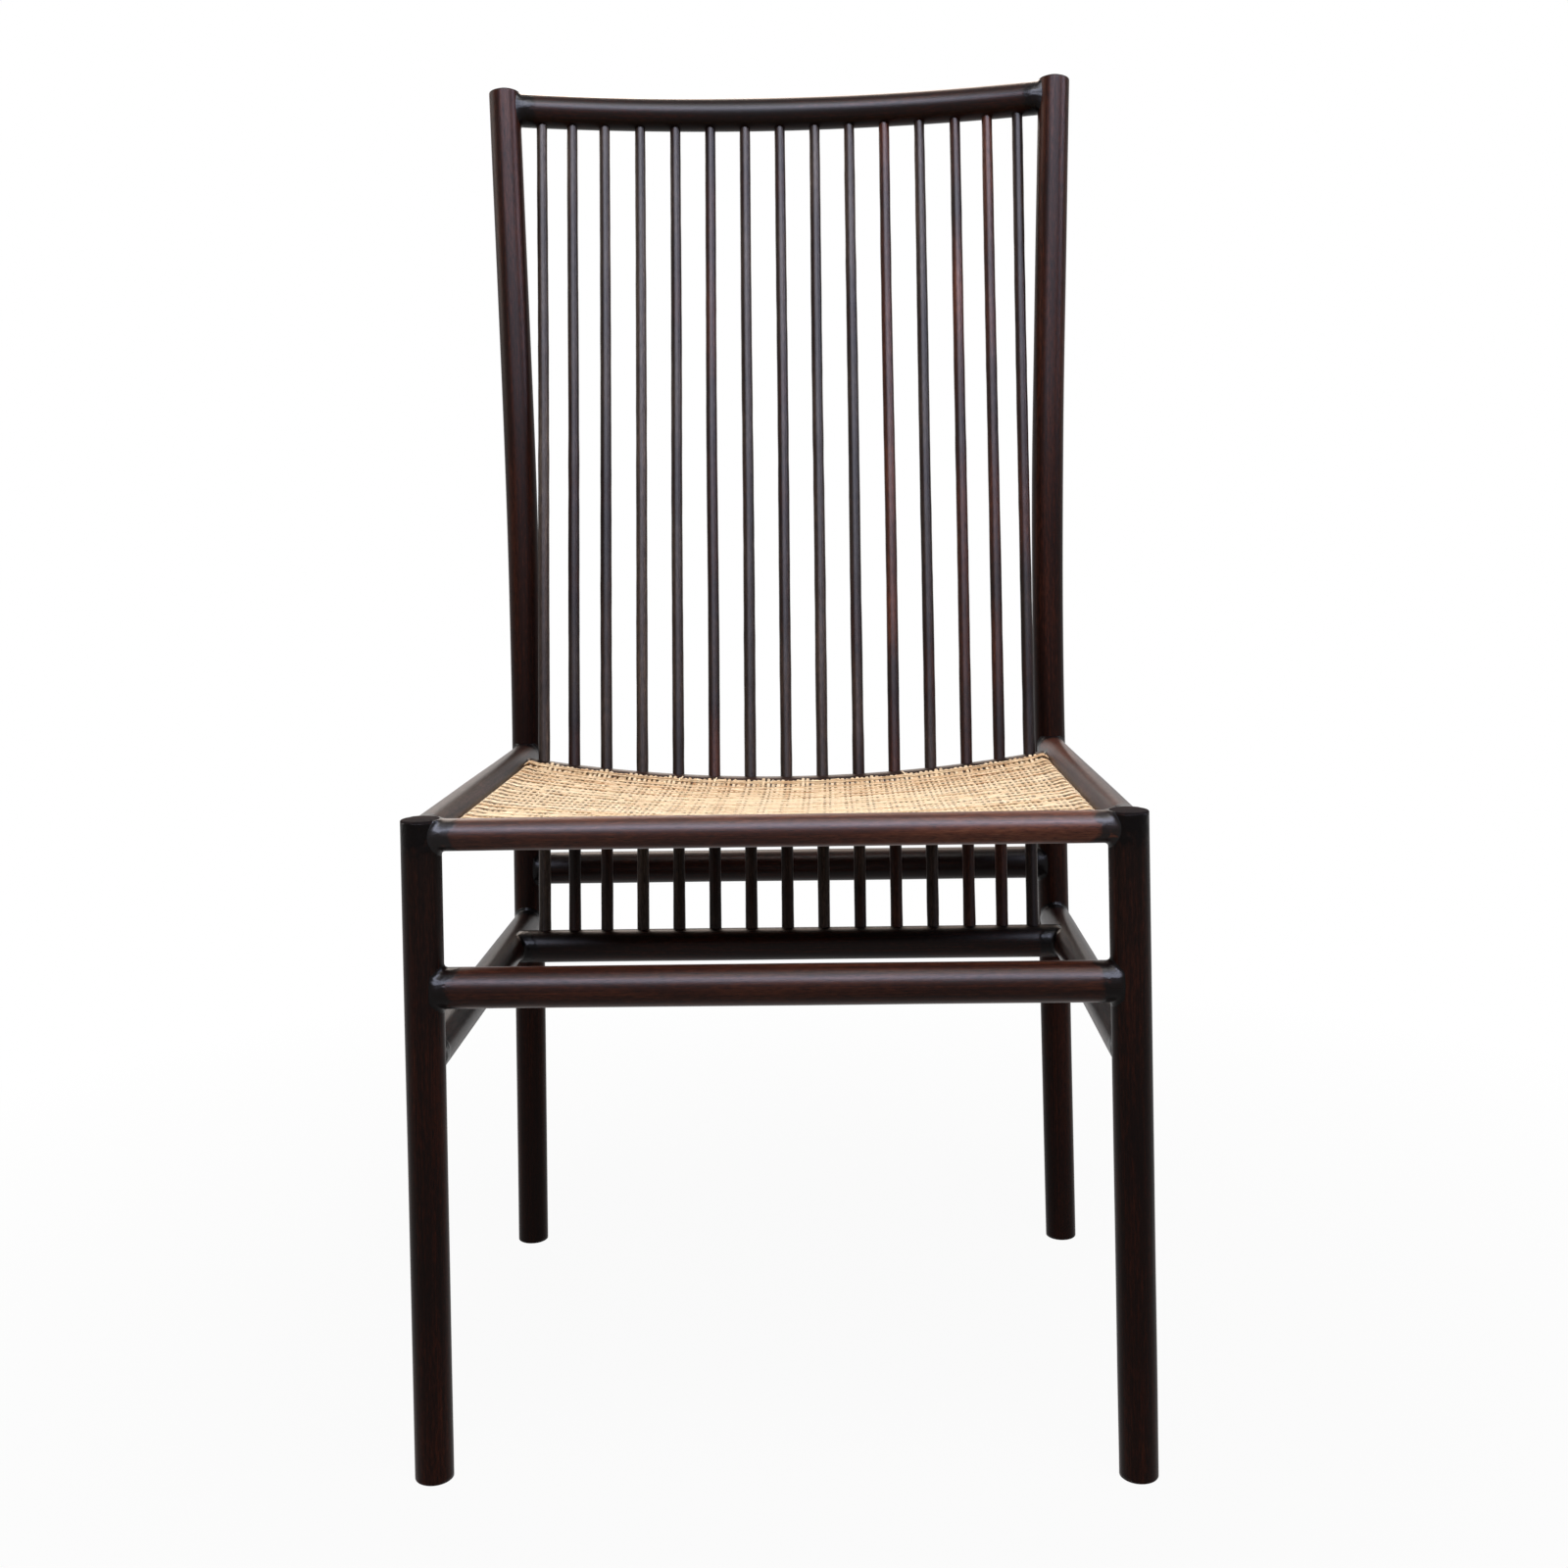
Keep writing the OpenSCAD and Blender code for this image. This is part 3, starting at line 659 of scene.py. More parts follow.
for seed, (node, hosts, tone, wood) in enumerate((
    ("front_seat_rail", front_legs, (0.35, 0.95), WORN_WOOD),
    ("front_stretcher", front_legs, (0.3, 0.2), RAIL_WOOD),
    ("rear_stretcher", rear_legs, (0, 0), RAIL_WOOD),
    ("lower_spindle_rail", side_stretchers, (0, 0), RAIL_WOOD),
)):
    span_x(node, (hosts["left"], hosts["right"]), 9 + seed, tone, wood)


def arc_path(half, middle, end, count=ARC_STEPS):
    """A flat arc through both ends and the middle, symmetric about the chair's middle."""
    sag = middle - Vector((0, end.y, end.z))
    depth = sag.length
    radius = (half * half + depth * depth) / (2 * depth)
    limit = math.asin(half / radius)
    path = []
    for i in range(count + 1):
        turn = limit * (2 * i / count - 1)
        share = 1 - radius * (1 - math.cos(turn)) / depth
        path.append(Vector((radius * math.sin(turn), end.y + sag.y * share, end.z + sag.z * share)))
    return path


def bowed_rail(node, radius, middle, end, hosts, seed, tone):
    """A bowed member between a left and a right host, through its middle and its end."""
    reach = end.x - hosts["right"].radius + WRAP
    path = [p for p in arc_path(end.x, middle, end) if abs(p.x) < reach]
    member(node, path, radius, hosts["left"], hosts["right"], RAIL_WOOD, seed, tone)


# The top rail bows backwards between the posts
low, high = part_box("top_rail")
top_r = (high.z - low.z) / 2
top_z = (high.z + low.z) / 2
post_top = post_tops["right"]
top_end = post_top.point + post_top.way * ((top_z - post_top.point.z) / post_top.way.z)
bowed_rail("top_rail", top_r, Vector((0, high.y - top_r, top_z)), top_end, post_tops, 14, (0, 0))

# The rear seat rail dips at its middle and leans back with the spindles
low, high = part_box("rear_seat_rail")
rail_end = Vector((side_rails["right"].point.x, low.y + REAR_RAIL_R, high.z - REAR_RAIL_R))
rail_middle = Vector((0, high.y - REAR_RAIL_R, low.z + REAR_RAIL_R))
bowed_rail("rear_seat_rail", REAR_RAIL_R, rail_middle, rail_end, side_rails, 15, (-0.2, -0.2))


# Spindles
# Fifteen slim rosewood rods, shaved by hand, so each is a little uneven. They taper
# upwards and end in round holes in the lower rail and the top rail.
SPINDLE_SIDES = 20
SPINDLE_ROWS = 90
SPINDLE_FOOT_R = 0.005
SPINDLE_HEAD_R = 0.0045
SPINDLE_SWAY = 0.0009
SPINDLE_SWAY_BACK = 0.4
SPINDLE_BROWN = ("#0E0807", "#1C100D", "#321D17", "#52392F")
# How red (above 0) or grey (below 0) each spindle is, from the left
SPINDLE_TONES = (
    -0.7, -0.1, -0.15, -0.7, -0.1, 0.05, -0.25, -0.15, -0.25, -0.2, 0.3, -0.2, 0.28, 0.25, -0.05)
# How much that varies along a spindle, and how quickly
SPINDLE_MOTTLE = 0.55
MOTTLES_PER_METRE = 14
MIDDLE_SPINDLE = (len(SPINDLE_TONES) + 1) // 2
SPINDLE_WOOD = rosewood("oiled_rosewood_spindle", SPINDLE_BROWN, 0.36, 0.16)


def new_tree(name, *inputs):
    """An empty Geometry Nodes tree with named inputs, and its input node."""
    tree = bpy.data.node_groups.new(name, "GeometryNodeTree")
    tree.interface.new_socket("Geometry", in_out="INPUT", socket_type="NodeSocketGeometry")
    tree.interface.new_socket("Geometry", in_out="OUTPUT", socket_type="NodeSocketGeometry")
    for label, kind in inputs:
        tree.interface.new_socket(label, in_out="INPUT", socket_type="NodeSocket" + kind)
    return tree, tree.nodes.new("NodeGroupInput")


def strands_tree(name):
    """Sweeps an oval section along every edge path, and stores what the materials read."""
    tree, given = new_tree(
        name, ("Width", "Float"), ("Thickness", "Float"), ("Sides", "Int"),
        ("Taper", "Float"), ("Flat Way", "Vector"), ("Unevenness", "Float"),
        ("Material", "Material"))
    curves = put(tree, "GeometryNodeMeshToCurve", {"Mesh": given.outputs["Geometry"]})
    along = put(tree, "GeometryNodeSplineParameter")
    curves = put(tree, "GeometryNodeStoreNamedAttribute", {
        "Geometry": curves, "Name": "length", "Value": along.outputs["Length"],
    }, data_type="FLOAT", domain="POINT")
    curves = put(tree, "GeometryNodeSetCurveNormal", {
        "Curve": curves, "Normal": given.outputs["Flat Way"],
    }, mode="FREE")
    # Each strand thins towards its end by the taper, and has lumps about 25 mm long
    thin = put(tree, "ShaderNodeMapRange", {
        "Value": along.outputs["Factor"], "To Min": 1.0, "To Max": given.outputs["Taper"],
    })
    place = put(tree, "GeometryNodeInputPosition")
    lumps = put(tree, "ShaderNodeTexNoise", {"Vector": place, "Scale": 1 / 0.025, "Detail": 1.0})
    swing = put(tree, "ShaderNodeMath", {
        0: lumps.outputs["Fac"], 1: 0.5,
    }, operation="SUBTRACT")
    uneven = put(tree, "ShaderNodeMath", {
        0: swing, 1: given.outputs["Unevenness"], 2: 1.0,
    }, operation="MULTIPLY_ADD")
    scale = put(tree, "ShaderNodeMath", {0: thin.outputs["Result"], 1: uneven}, operation="MULTIPLY")
    section = put(tree, "GeometryNodeCurvePrimitiveCircle", {
        "Resolution": given.outputs["Sides"], "Radius": 0.5,
    })
    size = put(tree, "ShaderNodeCombineXYZ", {
        "X": given.outputs["Width"], "Y": given.outputs["Thickness"], "Z": 1.0,
    })
    section = put(tree, "GeometryNodeTransform", {"Geometry": section, "Scale": size})
    section = put(tree, "GeometryNodeStoreNamedAttribute", {
        "Geometry": section, "Name": "section", "Value": place,
    }, data_type="FLOAT_VECTOR", domain="POINT")
    swept = put(tree, "GeometryNodeCurveToMesh", {
        "Curve": curves, "Profile Curve": section, "Scale": scale, "Fill Caps": True,
    })
    # The grain's own space: across the section, and along the strand
    across = put(tree, "GeometryNodeInputNamedAttribute", {"Name": "section"},
                 data_type="FLOAT_VECTOR")
    run = put(tree, "GeometryNodeInputNamedAttribute", {"Name": "length"}, data_type="FLOAT")
    which = put(tree, "GeometryNodeInputNamedAttribute", {"Name": "seed"}, data_type="FLOAT")
    split = put(tree, "ShaderNodeSeparateXYZ", {"Vector": across.outputs["Attribute"]})
    aside = put(tree, "ShaderNodeMath", {
        0: which.outputs["Attribute"], 1: GRAIN_STEP[0], 2: split.outputs["X"],
    }, operation="MULTIPLY_ADD")
    grain = put(tree, "ShaderNodeCombineXYZ", {
        "X": aside, "Y": split.outputs["Y"], "Z": run.outputs["Attribute"],
    })
    stored = put(tree, "GeometryNodeStoreNamedAttribute", {
        "Geometry": swept, "Name": "grain", "Value": grain,
    }, data_type="FLOAT_VECTOR", domain="POINT")
    smooth = put(tree, "GeometryNodeSetShadeSmooth", {"Geometry": stored})
    real = put(tree, "GeometryNodeRealizeInstances", {"Geometry": smooth})
    finished = put(tree, "GeometryNodeSetMaterial", {
        "Geometry": real, "Material": given.outputs["Material"],
    })
    put(tree, "NodeGroupOutput", {"Geometry": finished})
    return tree


STRANDS = strands_tree("swept_strands")


def paths_mesh(name, strands):
    """Edge paths from lists of (points, seed, tone, how much painted shade each point gets in a
    crevice).
    The tone is one number or one for each point, and no shade list means that all are 0."""
    points, edges, seeds, tones, painted_crevice_shades = [], [], [], [], []
    for places, seed, tone, painted_shades in strands:
        first = len(points)
        points += places
        edges += [(i, i + 1) for i in range(first, len(points) - 1)]
        seeds += [seed] * len(places)
        tones += tone if isinstance(tone, list) else [tone] * len(places)
        painted_crevice_shades += painted_shades or [0.0] * len(places)
    mesh = bpy.data.meshes.new(name)
    mesh.from_pydata(points, edges, [])
    store(mesh, "seed", seeds)
    store(mesh, "tone", tones)
    store(mesh, "painted_crevice_shade", painted_crevice_shades)
    return mesh


def grown(name, strands, inputs):
    """Sweeps strands with the tree's inputs, and gives the result as a plain mesh object."""
    source = placed(name + "_path", paths_mesh(name + "_paths", strands))
    modifier = source.modifiers.new("nodes", "NODES")
    modifier.node_group = STRANDS
    for item in STRANDS.interface.items_tree:
        if item.item_type == "SOCKET" and item.in_out == "INPUT" and item.name in inputs:
            modifier[item.identifier] = inputs[item.name]
    graph = bpy.context.evaluated_depsgraph_get()
    mesh = bpy.data.meshes.new_from_object(source.evaluated_get(graph))
    source.modifiers.clear()
    bpy.data.objects.remove(source)
    mesh.name = name
    return placed(name, mesh)


spindles = []
for number, tone in enumerate(SPINDLE_TONES, 1):
    low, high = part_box("spindle_%02d" % number)
    lean = Vector((0, high.y - low.y, high.z - low.z)).normalized()
    # Each spindle leans outwards from its foot to its head, except for the middle one
    foot_x, head_x = high.x - SPINDLE_FOOT_R, low.x + SPINDLE_HEAD_R
    if number > MIDDLE_SPINDLE:
        foot_x, head_x = low.x + SPINDLE_FOOT_R, high.x - SPINDLE_HEAD_R
    if number == MIDDLE_SPINDLE:
        foot_x = head_x = 0
    foot = Vector((foot_x, low.y + SPINDLE_FOOT_R * lean.z, low.z + SPINDLE_FOOT_R * lean.y))
    head = Vector((head_x, high.y - SPINDLE_HEAD_R * lean.z, high.z - SPINDLE_HEAD_R * lean.y))
    places = []
    for i in range(SPINDLE_ROWS + 1):
        share = i / SPINDLE_ROWS
        spot = foot.lerp(head, share)
        # Plain noise, because the vector kind starts from the clock and differs in each run
        sway_x, sway_y = [
            noise.noise(Vector((number * 7.7, share * 2.6, slice_z))) * SPINDLE_SWAY
            for slice_z in (0.4, 4.9)
        ]
        spot += Vector((sway_x, sway_y * SPINDLE_SWAY_BACK, 0)) * math.sin(math.pi * share)
        places.append(spot)
    tones = [
        tone + SPINDLE_MOTTLE * noise.noise(Vector((number * 5.3, spot.z * MOTTLES_PER_METRE, 1.7)))
        for spot in places
    ]
    spindles.append((places, number, tones, None))
spindle_piece = grown("spindles_wood", spindles, {
    "Width": 2 * SPINDLE_FOOT_R, "Thickness": 2 * SPINDLE_FOOT_R, "Sides": SPINDLE_SIDES,
    "Taper": SPINDLE_HEAD_R / SPINDLE_FOOT_R, "Flat Way": (1, 0, 0), "Unevenness": 0.12,
    "Material": SPINDLE_WOOD,
})
hand_in(spindle_piece, SPINDLE_WOOD, "rosewood_spindle",
        *["spindle_%02d" % n for n in range(1, len(SPINDLE_TONES) + 1)])


# Rattan rods
# Four peeled rattan rods that the cane is wound round. The rear one follows the dip of
# the rear seat rail. They are pale, matt and slightly lumpy.
ROD_R = 0.004
ROD_SIDES = 16
ROD_STEPS = 60
# The colour of the painted shade in the cane's crevices
PAINTED_SHADE_BROWN = "#4E2B12"
# Fibre lines and stains, in metres: across the strand, through it and along it
CANE_PATTERNS = {
    "lines": ((0.0004, 0.0008, 0.025), {"Detail": 3.0}),
    "stains": ((0.012, 0.012, 0.02), {"Detail": 2.0}),
}


def cane(name, pale, straw, brown, roughness):
    """Split rattan cane: a warm straw skin with a soft gloss, fine lines along it, and
    brown stains. A strand's tone makes it paler or darker, and painted shade darkens it in the
    crevices of the weave."""
    made = bpy.data.materials.new(name)
    tree = empty_tree(made)
    skin = grain_patterns(tree, CANE_PATTERNS)[1]
    tone = put(tree, "ShaderNodeAttribute", attribute_name="tone")
    figure = put(tree, "ShaderNodeMix", {
        "Factor": 0.4, "A": skin["lines"], "B": skin["stains"],
    }, data_type="FLOAT")
    shifted = put(tree, "ShaderNodeMath", {
        0: tone.outputs["Fac"], 1: 0.2, 2: figure,
    }, operation="MULTIPLY_ADD")
    ramp = put(tree, "ShaderNodeValToRGB", {"Fac": shifted})
    stops = ramp.color_ramp.elements
    stops[0].position, stops[0].color = 0.26, linear(brown)
    stops[1].position, stops[1].color = 0.7, linear(pale)
    stops.new(0.45).color = linear(straw)
    # Painted shade darkens the strands where they dip between the bundles and at the slots
    painted_crevice_shade = put(tree, "ShaderNodeAttribute", attribute_name="painted_crevice_shade")
    shaded_colour = put(tree, "ShaderNodeMix", {
        "Factor": painted_crevice_shade.outputs["Fac"], "A": ramp.outputs["Color"], "B": linear(PAINTED_SHADE_BROWN),
    }, data_type="RGBA", blend_type="MIX")
    relief = put(tree, "ShaderNodeBump", {
        "Strength": 0.3, "Distance": 0.0002, "Height": skin["lines"],
    })
    shader = put(tree, "ShaderNodeBsdfPrincipled", {
        "Base Color": shaded_colour.outputs["Result"], "Roughness": roughness, "IOR": 1.33,
        "Specular IOR Level": 0.16, "Normal": relief,
    })
    put(tree, "ShaderNodeOutputMaterial", {"Surface": shader})
    return made


RATTAN = cane("peeled_rattan", "#DDBE8C", "#C79F66", "#8A6238", 0.6)
side_low, side_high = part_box("seat_rod_right")
rod_x = (side_low.x + side_high.x) / 2
rod_z = (side_low.z + side_high.z) / 2
front_low, front_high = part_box("seat_rod_front")
front_rod_y = ((front_low + front_high) / 2).y
rear_low, rear_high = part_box("seat_rod_rear")
rear_rod_end = Vector((rod_x, rear_low.y + ROD_R, rod_z))
rear_rod_middle = Vector((0, rear_high.y - ROD_R, rear_low.z + ROD_R))
rod_paths = {
    "seat_rod_left": [Vector((-rod_x, y, rod_z)) for y in (side_low.y, side_high.y)],
    "seat_rod_right": [Vector((rod_x, y, rod_z)) for y in (side_low.y, side_high.y)],
    "seat_rod_front": [Vector((x, front_rod_y, rod_z)) for x in (-rod_x, rod_x)],
    "seat_rod_rear": arc_path(rod_x, rear_rod_middle, rear_rod_end, ROD_STEPS),
}
for number, (node, path) in enumerate(rod_paths.items()):
    if len(path) == 2:
        path = [path[0].lerp(path[1], i / ROD_STEPS) for i in range(ROD_STEPS + 1)]
    rod = grown(node + "_rattan", [(path, number, 0.0, None)], {
        "Width": 2 * ROD_R, "Thickness": 2 * ROD_R, "Sides": ROD_SIDES, "Taper": 1.0,
        "Flat Way": (0, 0, 1), "Unevenness": 0.1, "Material": RATTAN,
    })
    hand_in(rod, RATTAN, "rattan_rod", node)


# Woven cane seat
# Split cane in a close weave, made by hand. Bundles of four strands run from side to side
# over strands from front to back, and all are wound right round the rattan rods and come
# back below. Between the bundles the strands part and dip, more so towards the sides, and
# dark slots show there, deepened by painted shade in the strands' colour.
ROW_UNITS = 22
STRANDS_PER_UNIT = 4
COLUMN_COUNT = 104
COLUMN_GROUP = 4
CANE_THICK = 0.0012
CANE_SIDES = 6
ROW_WIDTH = 0.0035
COLUMN_WIDTH = 0.0027
# How far a column lies below the bundles that cross it, and comes up between them
COLUMN_UNDER = 0.0015
COLUMN_OVER = 0.0008
CANE_DEPTH = 0.0015
CANE_SAG = 0.005
BUNDLE_RISE = 0.0007
DIP_DEPTH = 0.002
SLOT_PARTING = 0.0014
# In the middle of the seat, slots open beside two columns in four, and at its sides beside
# all. The change starts at one share of the way out and is spread over another. Between
# two columns a slot is nearly shut
MIDDLE_SLOTS = (0.62, 0.12)
SIDE_SLOTS = 0.72
SLOTS_FROM = 0.2
SLOTS_OVER = 0.5
SLOT_BETWEEN = 0.12
# The weave is closer at the left, out to a share of the way across
LEFT_CLOSENESS = 0.7
LEFT_OVER = 0.6
# How far the strands stray sideways, as a share of a unit or of a column, and up and down
ROW_WAVER = 0.12
COLUMN_WAVER = 0.2
ROW_LUMPS = 0.0004
# Over what share of the way in from a rod the rise and fall of the weave sets in
ROW_CALM = 0.01
COLUMN_CALM = 0.03
UNDER_CALM = 0.02
UNDER_STEP = 4
UNDER_WAVE = 0.0005
WRAP_STEPS = 8
WRAP_TURN = math.radians(180)
WRAP_SETTLED = math.radians(70)
SCALLOP = 0.0016
LOOP_RISE = 0.0017
LOOP_LENGTH = 0.005
LOOP_PINCH = 0.22
EDGE_HOLE_IN = 0.007
EDGE_HOLE_SPREAD = 0.0025
# How high the cane is bunched up over the rear rod, and within about how many units of it
REAR_RISE = 0.005
REAR_BUNCH = 1.0
ROW_REAR_RISE = 0.7 * REAR_RISE
# How much painted shade darkens the strands in a slot, where columns pass under a bundle, and in the
# layer below
OUTER_SHADE = 0.88
INNER_SHADE = 0.35
COLUMN_SHADE = 0.8
BELOW_SHADE = 0.7
# Where the noise of each set of strands starts
COLUMN_SEED = 200
BELOW_SEED = 400
LOOSE_SEED = 700
# A few thin ends stand free at the rear edge: where, how far sideways, and how high
LOOSE_WIDTH = 0.0007
LOOSE_REACH = 0.005
LOOSE_ROOT = 0.975
LOOSE_STEPS = 8
LOOSE_TONE = 1.2
LOOSE_ENDS = (
    (-0.087, 0.003, 0.0018), (-0.071, -0.002, 0.0012), (-0.058, 0.0015, 0.0025),
    (-0.039, -0.003, 0.0015), (-0.012, 0.002, 0.0012), (0.098, -0.003, 0.003),
)
CANE = cane("split_cane", "#FDE9CC", "#EFD3AD", "#BD8B5B", 0.55)
cane_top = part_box("cane_seat")[1].z
arc_depth = (rear_rod_middle - Vector((0, rear_rod_end.y, rear_rod_end.z))).length
arc_radius = (rod_x ** 2 + arc_depth ** 2) / (2 * arc_depth)
arc_back = (rear_rod_middle.y - rear_rod_end.y) / arc_depth
arc_drop = (rear_rod_end.z - rear_rod_middle.z) / arc_depth


def seat_sag(x):
    """How far the rear rod's arc lies from the line through its ends."""
    return math.sqrt(arc_radius ** 2 - x * x) - (arc_radius - arc_depth)


def seat_place(u, v, below=0.0):
    """The middle of the cane's thickness, at shares of the way across and back."""
    x = (2 * u - 1) * rod_x
    rear_y = rear_rod_end.y + seat_sag(x) * arc_back
    hang = CANE_SAG * (1 - (2 * u - 1) ** 2) * 4 * v * (1 - v)
    return Vector((
        x, front_rod_y + (rear_y - front_rod_y) * v,
        cane_top - CANE_DEPTH - seat_sag(x) * arc_drop * v - hang - below,
    ))


def unit_depth(u):
    """How deep one row unit is, in metres, at a share of the way across."""
    return (seat_place(u, 1) - seat_place(u, 0)).y / ROW_UNITS


def row_share(unit, k, spread=1):
    """How far back one of a bundle's strands lies, with the bundle spread or pinched."""
    return (unit + 0.5 + (k - (STRANDS_PER_UNIT - 1) / 2) * spread / STRANDS_PER_UNIT) / ROW_UNITS


def at_least(least, share):
    """A share from 0 to 1, spread over the way from a least value to 1."""
    return least + (1 - least) * share


def calmed(share, over):
    """0 at both rods, and 1 from a little way in."""
    return min(1, min(share, 1 - share) / over)


def near_rear(v):
    """1 at the rear rod, fading within a unit or two of it."""
    return math.exp(-((1 - v) * ROW_UNITS / REAR_BUNCH) ** 2)


def slot_strength(u, w, boundary):
    """How far the weave opens between two bundles, beside column w: 0 shut, 1 wide open."""
    openness = min(max((abs(2 * u - 1) - SLOTS_FROM) / SLOTS_OVER, 0), 1)
    openness *= at_least(LEFT_CLOSENESS, min(u / LEFT_OVER, 1))
    middle = MIDDLE_SLOTS[math.floor(w) % COLUMN_GROUP // 2]
    steady = middle * (1 - openness) + SIDE_SLOTS * openness
    local = noise.noise(Vector((w * 0.83, boundary * 1.9, 2.2)))
    wide = noise.noise(Vector((u * 5, boundary * 0.35, 7.7)))
    return min(max(steady * (1 + 0.9 * wide) + 1.3 * local * at_least(0.4, openness), 0), 1)


def edge_hole(u):
    """The row of small holes just inside each side rod."""
    inside = rod_x * (1 - abs(2 * u - 1))
    return math.exp(-((inside - EDGE_HOLE_IN) / EDGE_HOLE_SPREAD) ** 2)


def wrap(top, outward, rod_height, bulge):
    """A strand's turn round a rod, from its top outwards and under."""
    middle = Vector((top.x, top.y, rod_height))
    places = []
    for k in range(1, WRAP_STEPS + 1):
        turn = WRAP_TURN * k / WRAP_STEPS
        ease = min(1, turn / WRAP_SETTLED)
        full = ROD_R + CANE_THICK / 2 + bulge * math.sin(turn)
        radius = (top.z - rod_height) * (1 - ease) + full * ease
        places.append(
            middle + outward * radius * math.sin(turn) + Vector((0, 0, radius * math.cos(turn))))
    return places


def row_strand(unit, k):
    """One strand from side to side, with its turns round the side rods. A bundle's inner
    strands ride high, and its outer two part from the next bundle and dip at the slots."""
    inner = 0 < k < STRANDS_PER_UNIT - 1
    away = -1 if k < STRANDS_PER_UNIT / 2 else 1
    boundary = unit if away < 0 else unit + 1
    run, painted_shades = [], []
    for i in range(2 * COLUMN_COUNT + 1):
        w = i / 2
        u = w / COLUMN_COUNT
        side = abs(2 * u - 1)
        beside = SLOT_BETWEEN if i % 2 else 1
        slot = slot_strength(u, w, boundary) * beside
        snug = LEFT_CLOSENESS if u < 0.5 else 1
        hole = edge_hole(u) * snug
        pull = 0 if inner else max(slot * (1 - hole), hole * at_least(0.35, beside))
        looped = math.exp(-(rod_x * (1 - side) / LOOP_LENGTH) ** 2)
        pinch = 1 - LOOP_PINCH * snug ** 2 * max(looped, 0.8 * hole)
        v = row_share(unit, k, pinch)
        v -= away * pull * SLOT_PARTING / unit_depth(u) / ROW_UNITS
        waver = noise.noise(Vector((u * 7, unit * 1.7, k * 0.15))) * ROW_WAVER / ROW_UNITS
        place = seat_place(u, min(max(v + waver, 0), 1))
        rise = BUNDLE_RISE * at_least(0.35, min(side * 1.6, 1))
        rise *= 1 if inner else 0.6 - 1.1 * slot
        loop = LOOP_RISE * looped if inner else -0.4 * LOOP_RISE * looped
        lumps = noise.noise(Vector((w * 0.5, unit * 3.3 + k, 5.5))) * ROW_LUMPS
        calm = calmed(u, ROW_CALM)
        place.z += (rise + lumps - pull * DIP_DEPTH) * calm + loop + ROW_REAR_RISE * near_rear(v)
        run.append(place)
        # Painted shade: the inner strands darken in wide slots, and the outer ones as they part and
        # dip
        painted_shades.append((INNER_SHADE * slot ** 2 if inner else min(OUTER_SHADE * pull, 1)) * calm)
    # On the rods the inner strands stand out, and the outer ones sink in between
    bulge = SCALLOP if inner else -SCALLOP * 0.3
    left = wrap(run[0], Vector((-1, 0, 0)), rod_z, bulge)
    right = wrap(run[-1], Vector((1, 0, 0)), rod_z, bulge)
    # Painted shade on the turns round the rod, darker on the outer strands that sink in
    wrap_shades = [0.15 if inner else 0.4] * WRAP_STEPS
    return left[::-1] + run + right, wrap_shades + painted_shades + wrap_shades


def column_strand(w):
    """One strand from front to back, under the bundles, with its turns round the rods."""
    u = (w + 0.5) / COLUMN_COUNT
    run, painted_shades = [], []
    uneven = 0.75 + 0.5 * noise.noise(Vector((w * 0.37, 8.1, 2.0)))
    for i in range(2 * ROW_UNITS + 1):
        v = i / 2 / ROW_UNITS
        waver = noise.noise(Vector((v * 6, w * 1.3, 9.1))) * COLUMN_WAVER / COLUMN_COUNT
        place = seat_place(u + waver, v)
        height = -COLUMN_UNDER
        if i % 2 == 0:
            lifted = slot_strength(place.x / rod_x / 2 + 0.5, w + 0.5, i / 2)
            height = COLUMN_OVER * at_least(0.35, lifted)
        place.z += height * calmed(v, COLUMN_CALM)
        place.z += REAR_RISE * near_rear(v) * uneven
        run.append(place)
        # Painted shade where a column passes under a bundle, less of it near the rear rod
        painted_shades.append(COLUMN_SHADE * (1 - near_rear(v)) if i % 2 else 0.0)
    bulge = SCALLOP * (0.9 if 0 < w % COLUMN_GROUP < COLUMN_GROUP - 1 else -0.4)
    bulge += noise.noise(Vector((w * 0.31, 1.5, 3.0))) * 0.0008
    front = wrap(run[0], Vector((0, -1, 0)), rod_z, bulge)
    rear = wrap(run[-1], Vector((0, 1, 0)), rod_z - seat_sag(run[-1].x) * arc_drop, bulge)
    # Painted shade on the turns round the rods, darker where the strand sinks in
    wrap_shades = [0.2 if bulge > 0 else 0.5] * WRAP_STEPS
    return front[::-1] + run + rear, wrap_shades + painted_shades + wrap_shades


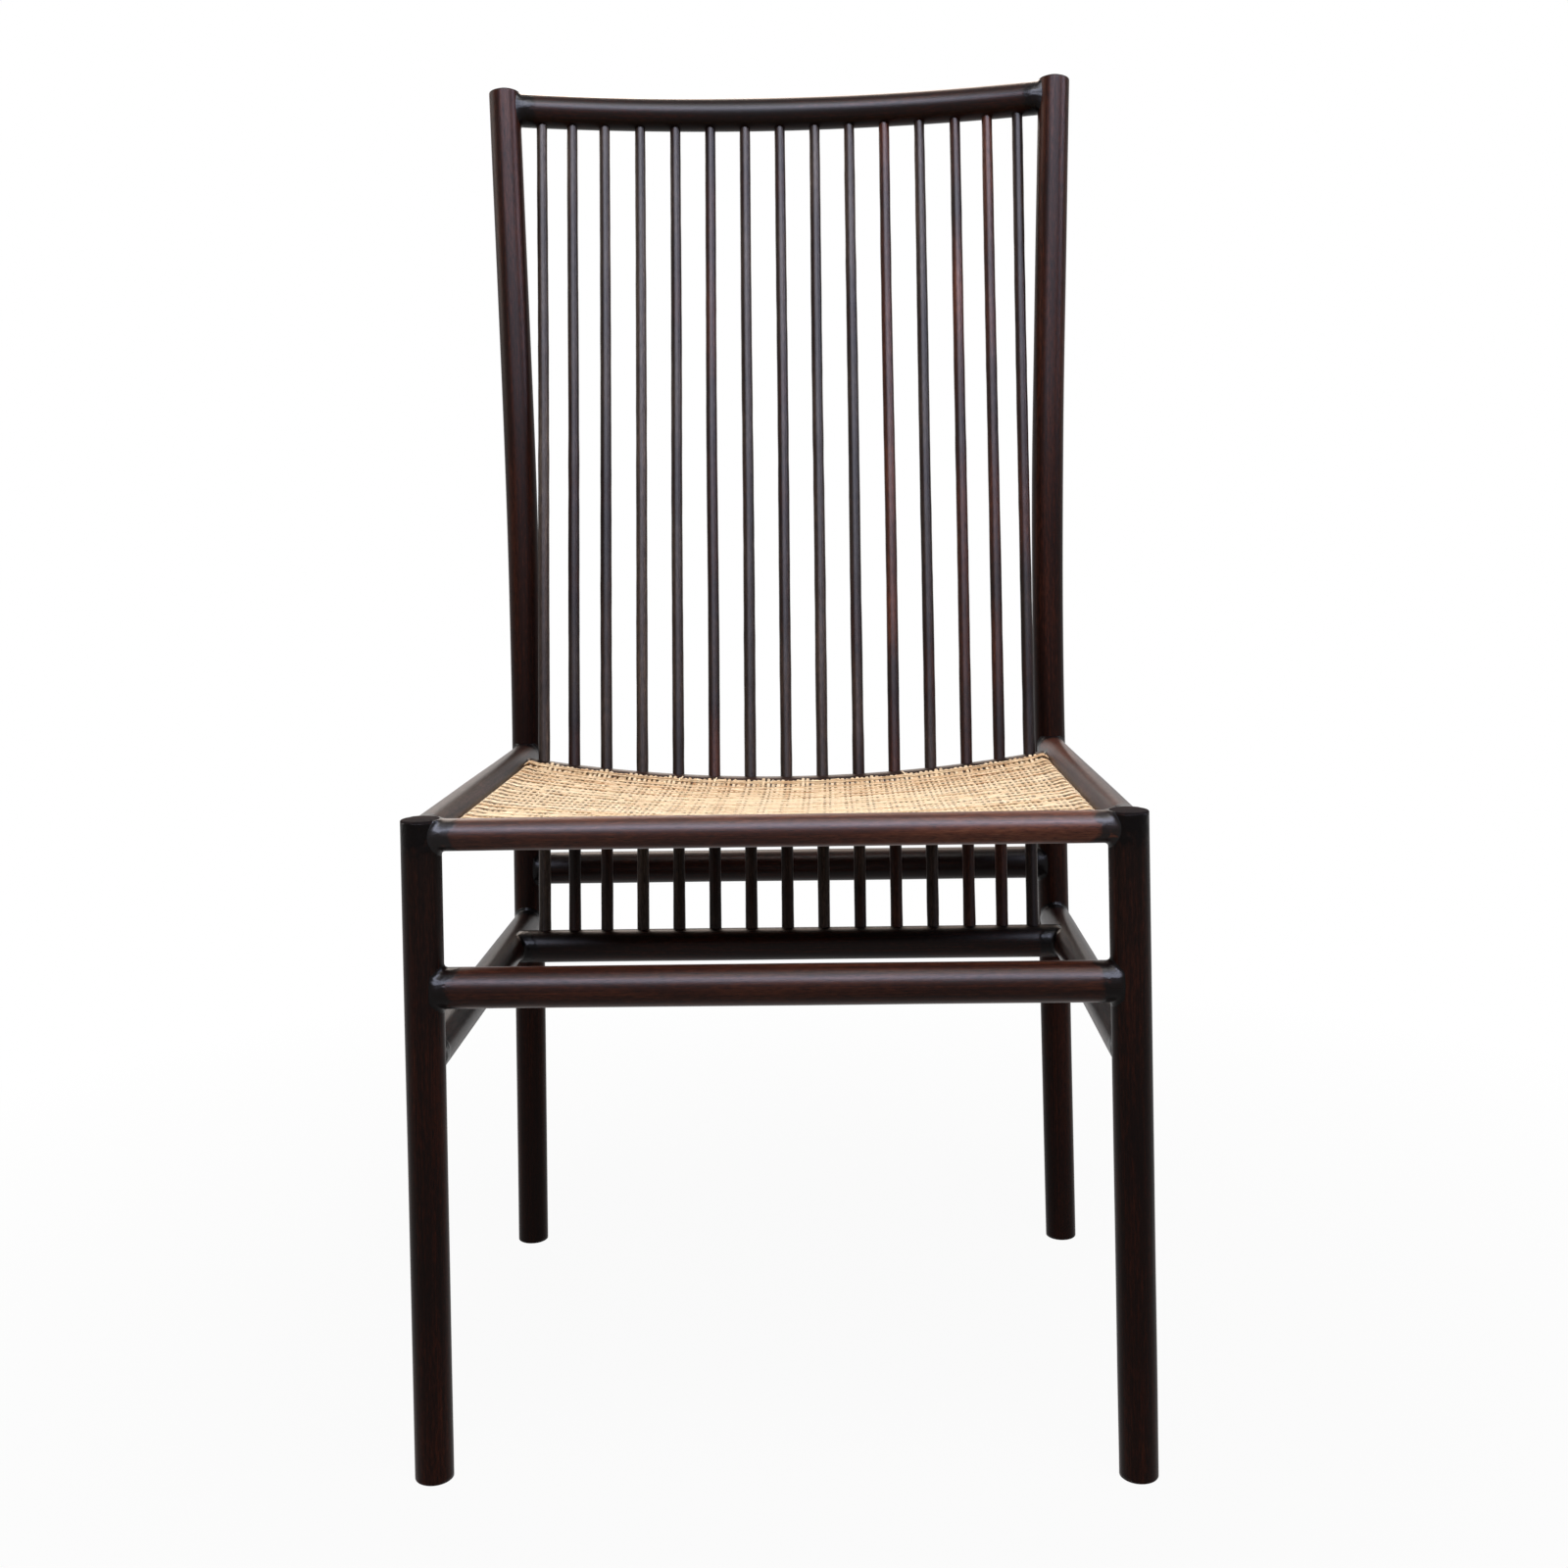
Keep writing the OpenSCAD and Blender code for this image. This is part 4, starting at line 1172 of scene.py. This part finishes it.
def under_strand(unit, k):
    """One strand's way back below, from rod to rod."""
    run = []
    count = COLUMN_COUNT // UNDER_STEP * 2
    for i in range(count + 1):
        u = i / count
        place = seat_place(u, row_share(unit, k), 2 * ROD_R + CANE_THICK)
        place.z += UNDER_WAVE * (-1) ** (unit + i) * calmed(u, UNDER_CALM)
        run.append(place)
    return run


def strand_tone(number):
    """How pale or dark a strand is."""
    return noise.noise(Vector((number * 12.9, 4.1, 0.7))) * 1.6


rows = {"fore": [], "aft": []}
below = []
for unit in range(ROW_UNITS):
    half = "fore" if unit < ROW_UNITS / 2 else "aft"
    for k in range(STRANDS_PER_UNIT):
        number = unit * STRANDS_PER_UNIT + k
        places, painted_shades = row_strand(unit, k)
        rows[half].append((places, number, strand_tone(number), painted_shades))
        number += BELOW_SEED
        places = under_strand(unit, k)
        # The layer below gets painted shade all along its length
        below.append((places, number, strand_tone(number), [BELOW_SHADE] * len(places)))
columns = []
for w in range(COLUMN_COUNT):
    places, painted_shades = column_strand(w)
    columns.append((places, COLUMN_SEED + w, strand_tone(COLUMN_SEED + w), painted_shades))
loose = []
for number, (x, aside, up) in enumerate(LOOSE_ENDS):
    root = seat_place(x / rod_x / 2 + 0.5, LOOSE_ROOT)
    places = []
    for i in range(LOOSE_STEPS + 1):
        share = i / LOOSE_STEPS
        places.append(root + Vector((
            aside * share ** 1.5, LOOSE_REACH * share, ROW_REAR_RISE + up * share)))
    loose.append((places, LOOSE_SEED + number, LOOSE_TONE, None))
for name, strands, width, flat_way in (
    ("cane_loose_ends", loose, LOOSE_WIDTH, (0, 1, 0)),
    ("cane_rows_fore", rows["fore"], ROW_WIDTH, (0, 1, 0)),
    ("cane_rows_aft", rows["aft"], ROW_WIDTH, (0, 1, 0)),
    ("cane_rows_below", below, ROW_WIDTH, (0, 1, 0)),
    ("cane_columns", columns, COLUMN_WIDTH, (1, 0, 0)),
):
    piece = grown(name, strands, {
        "Width": width, "Thickness": CANE_THICK, "Sides": CANE_SIDES, "Taper": 1.0,
        "Flat Way": flat_way, "Unevenness": 0.2, "Material": CANE,
    })
    hand_in(piece, CANE, "woven_cane", "cane_seat")
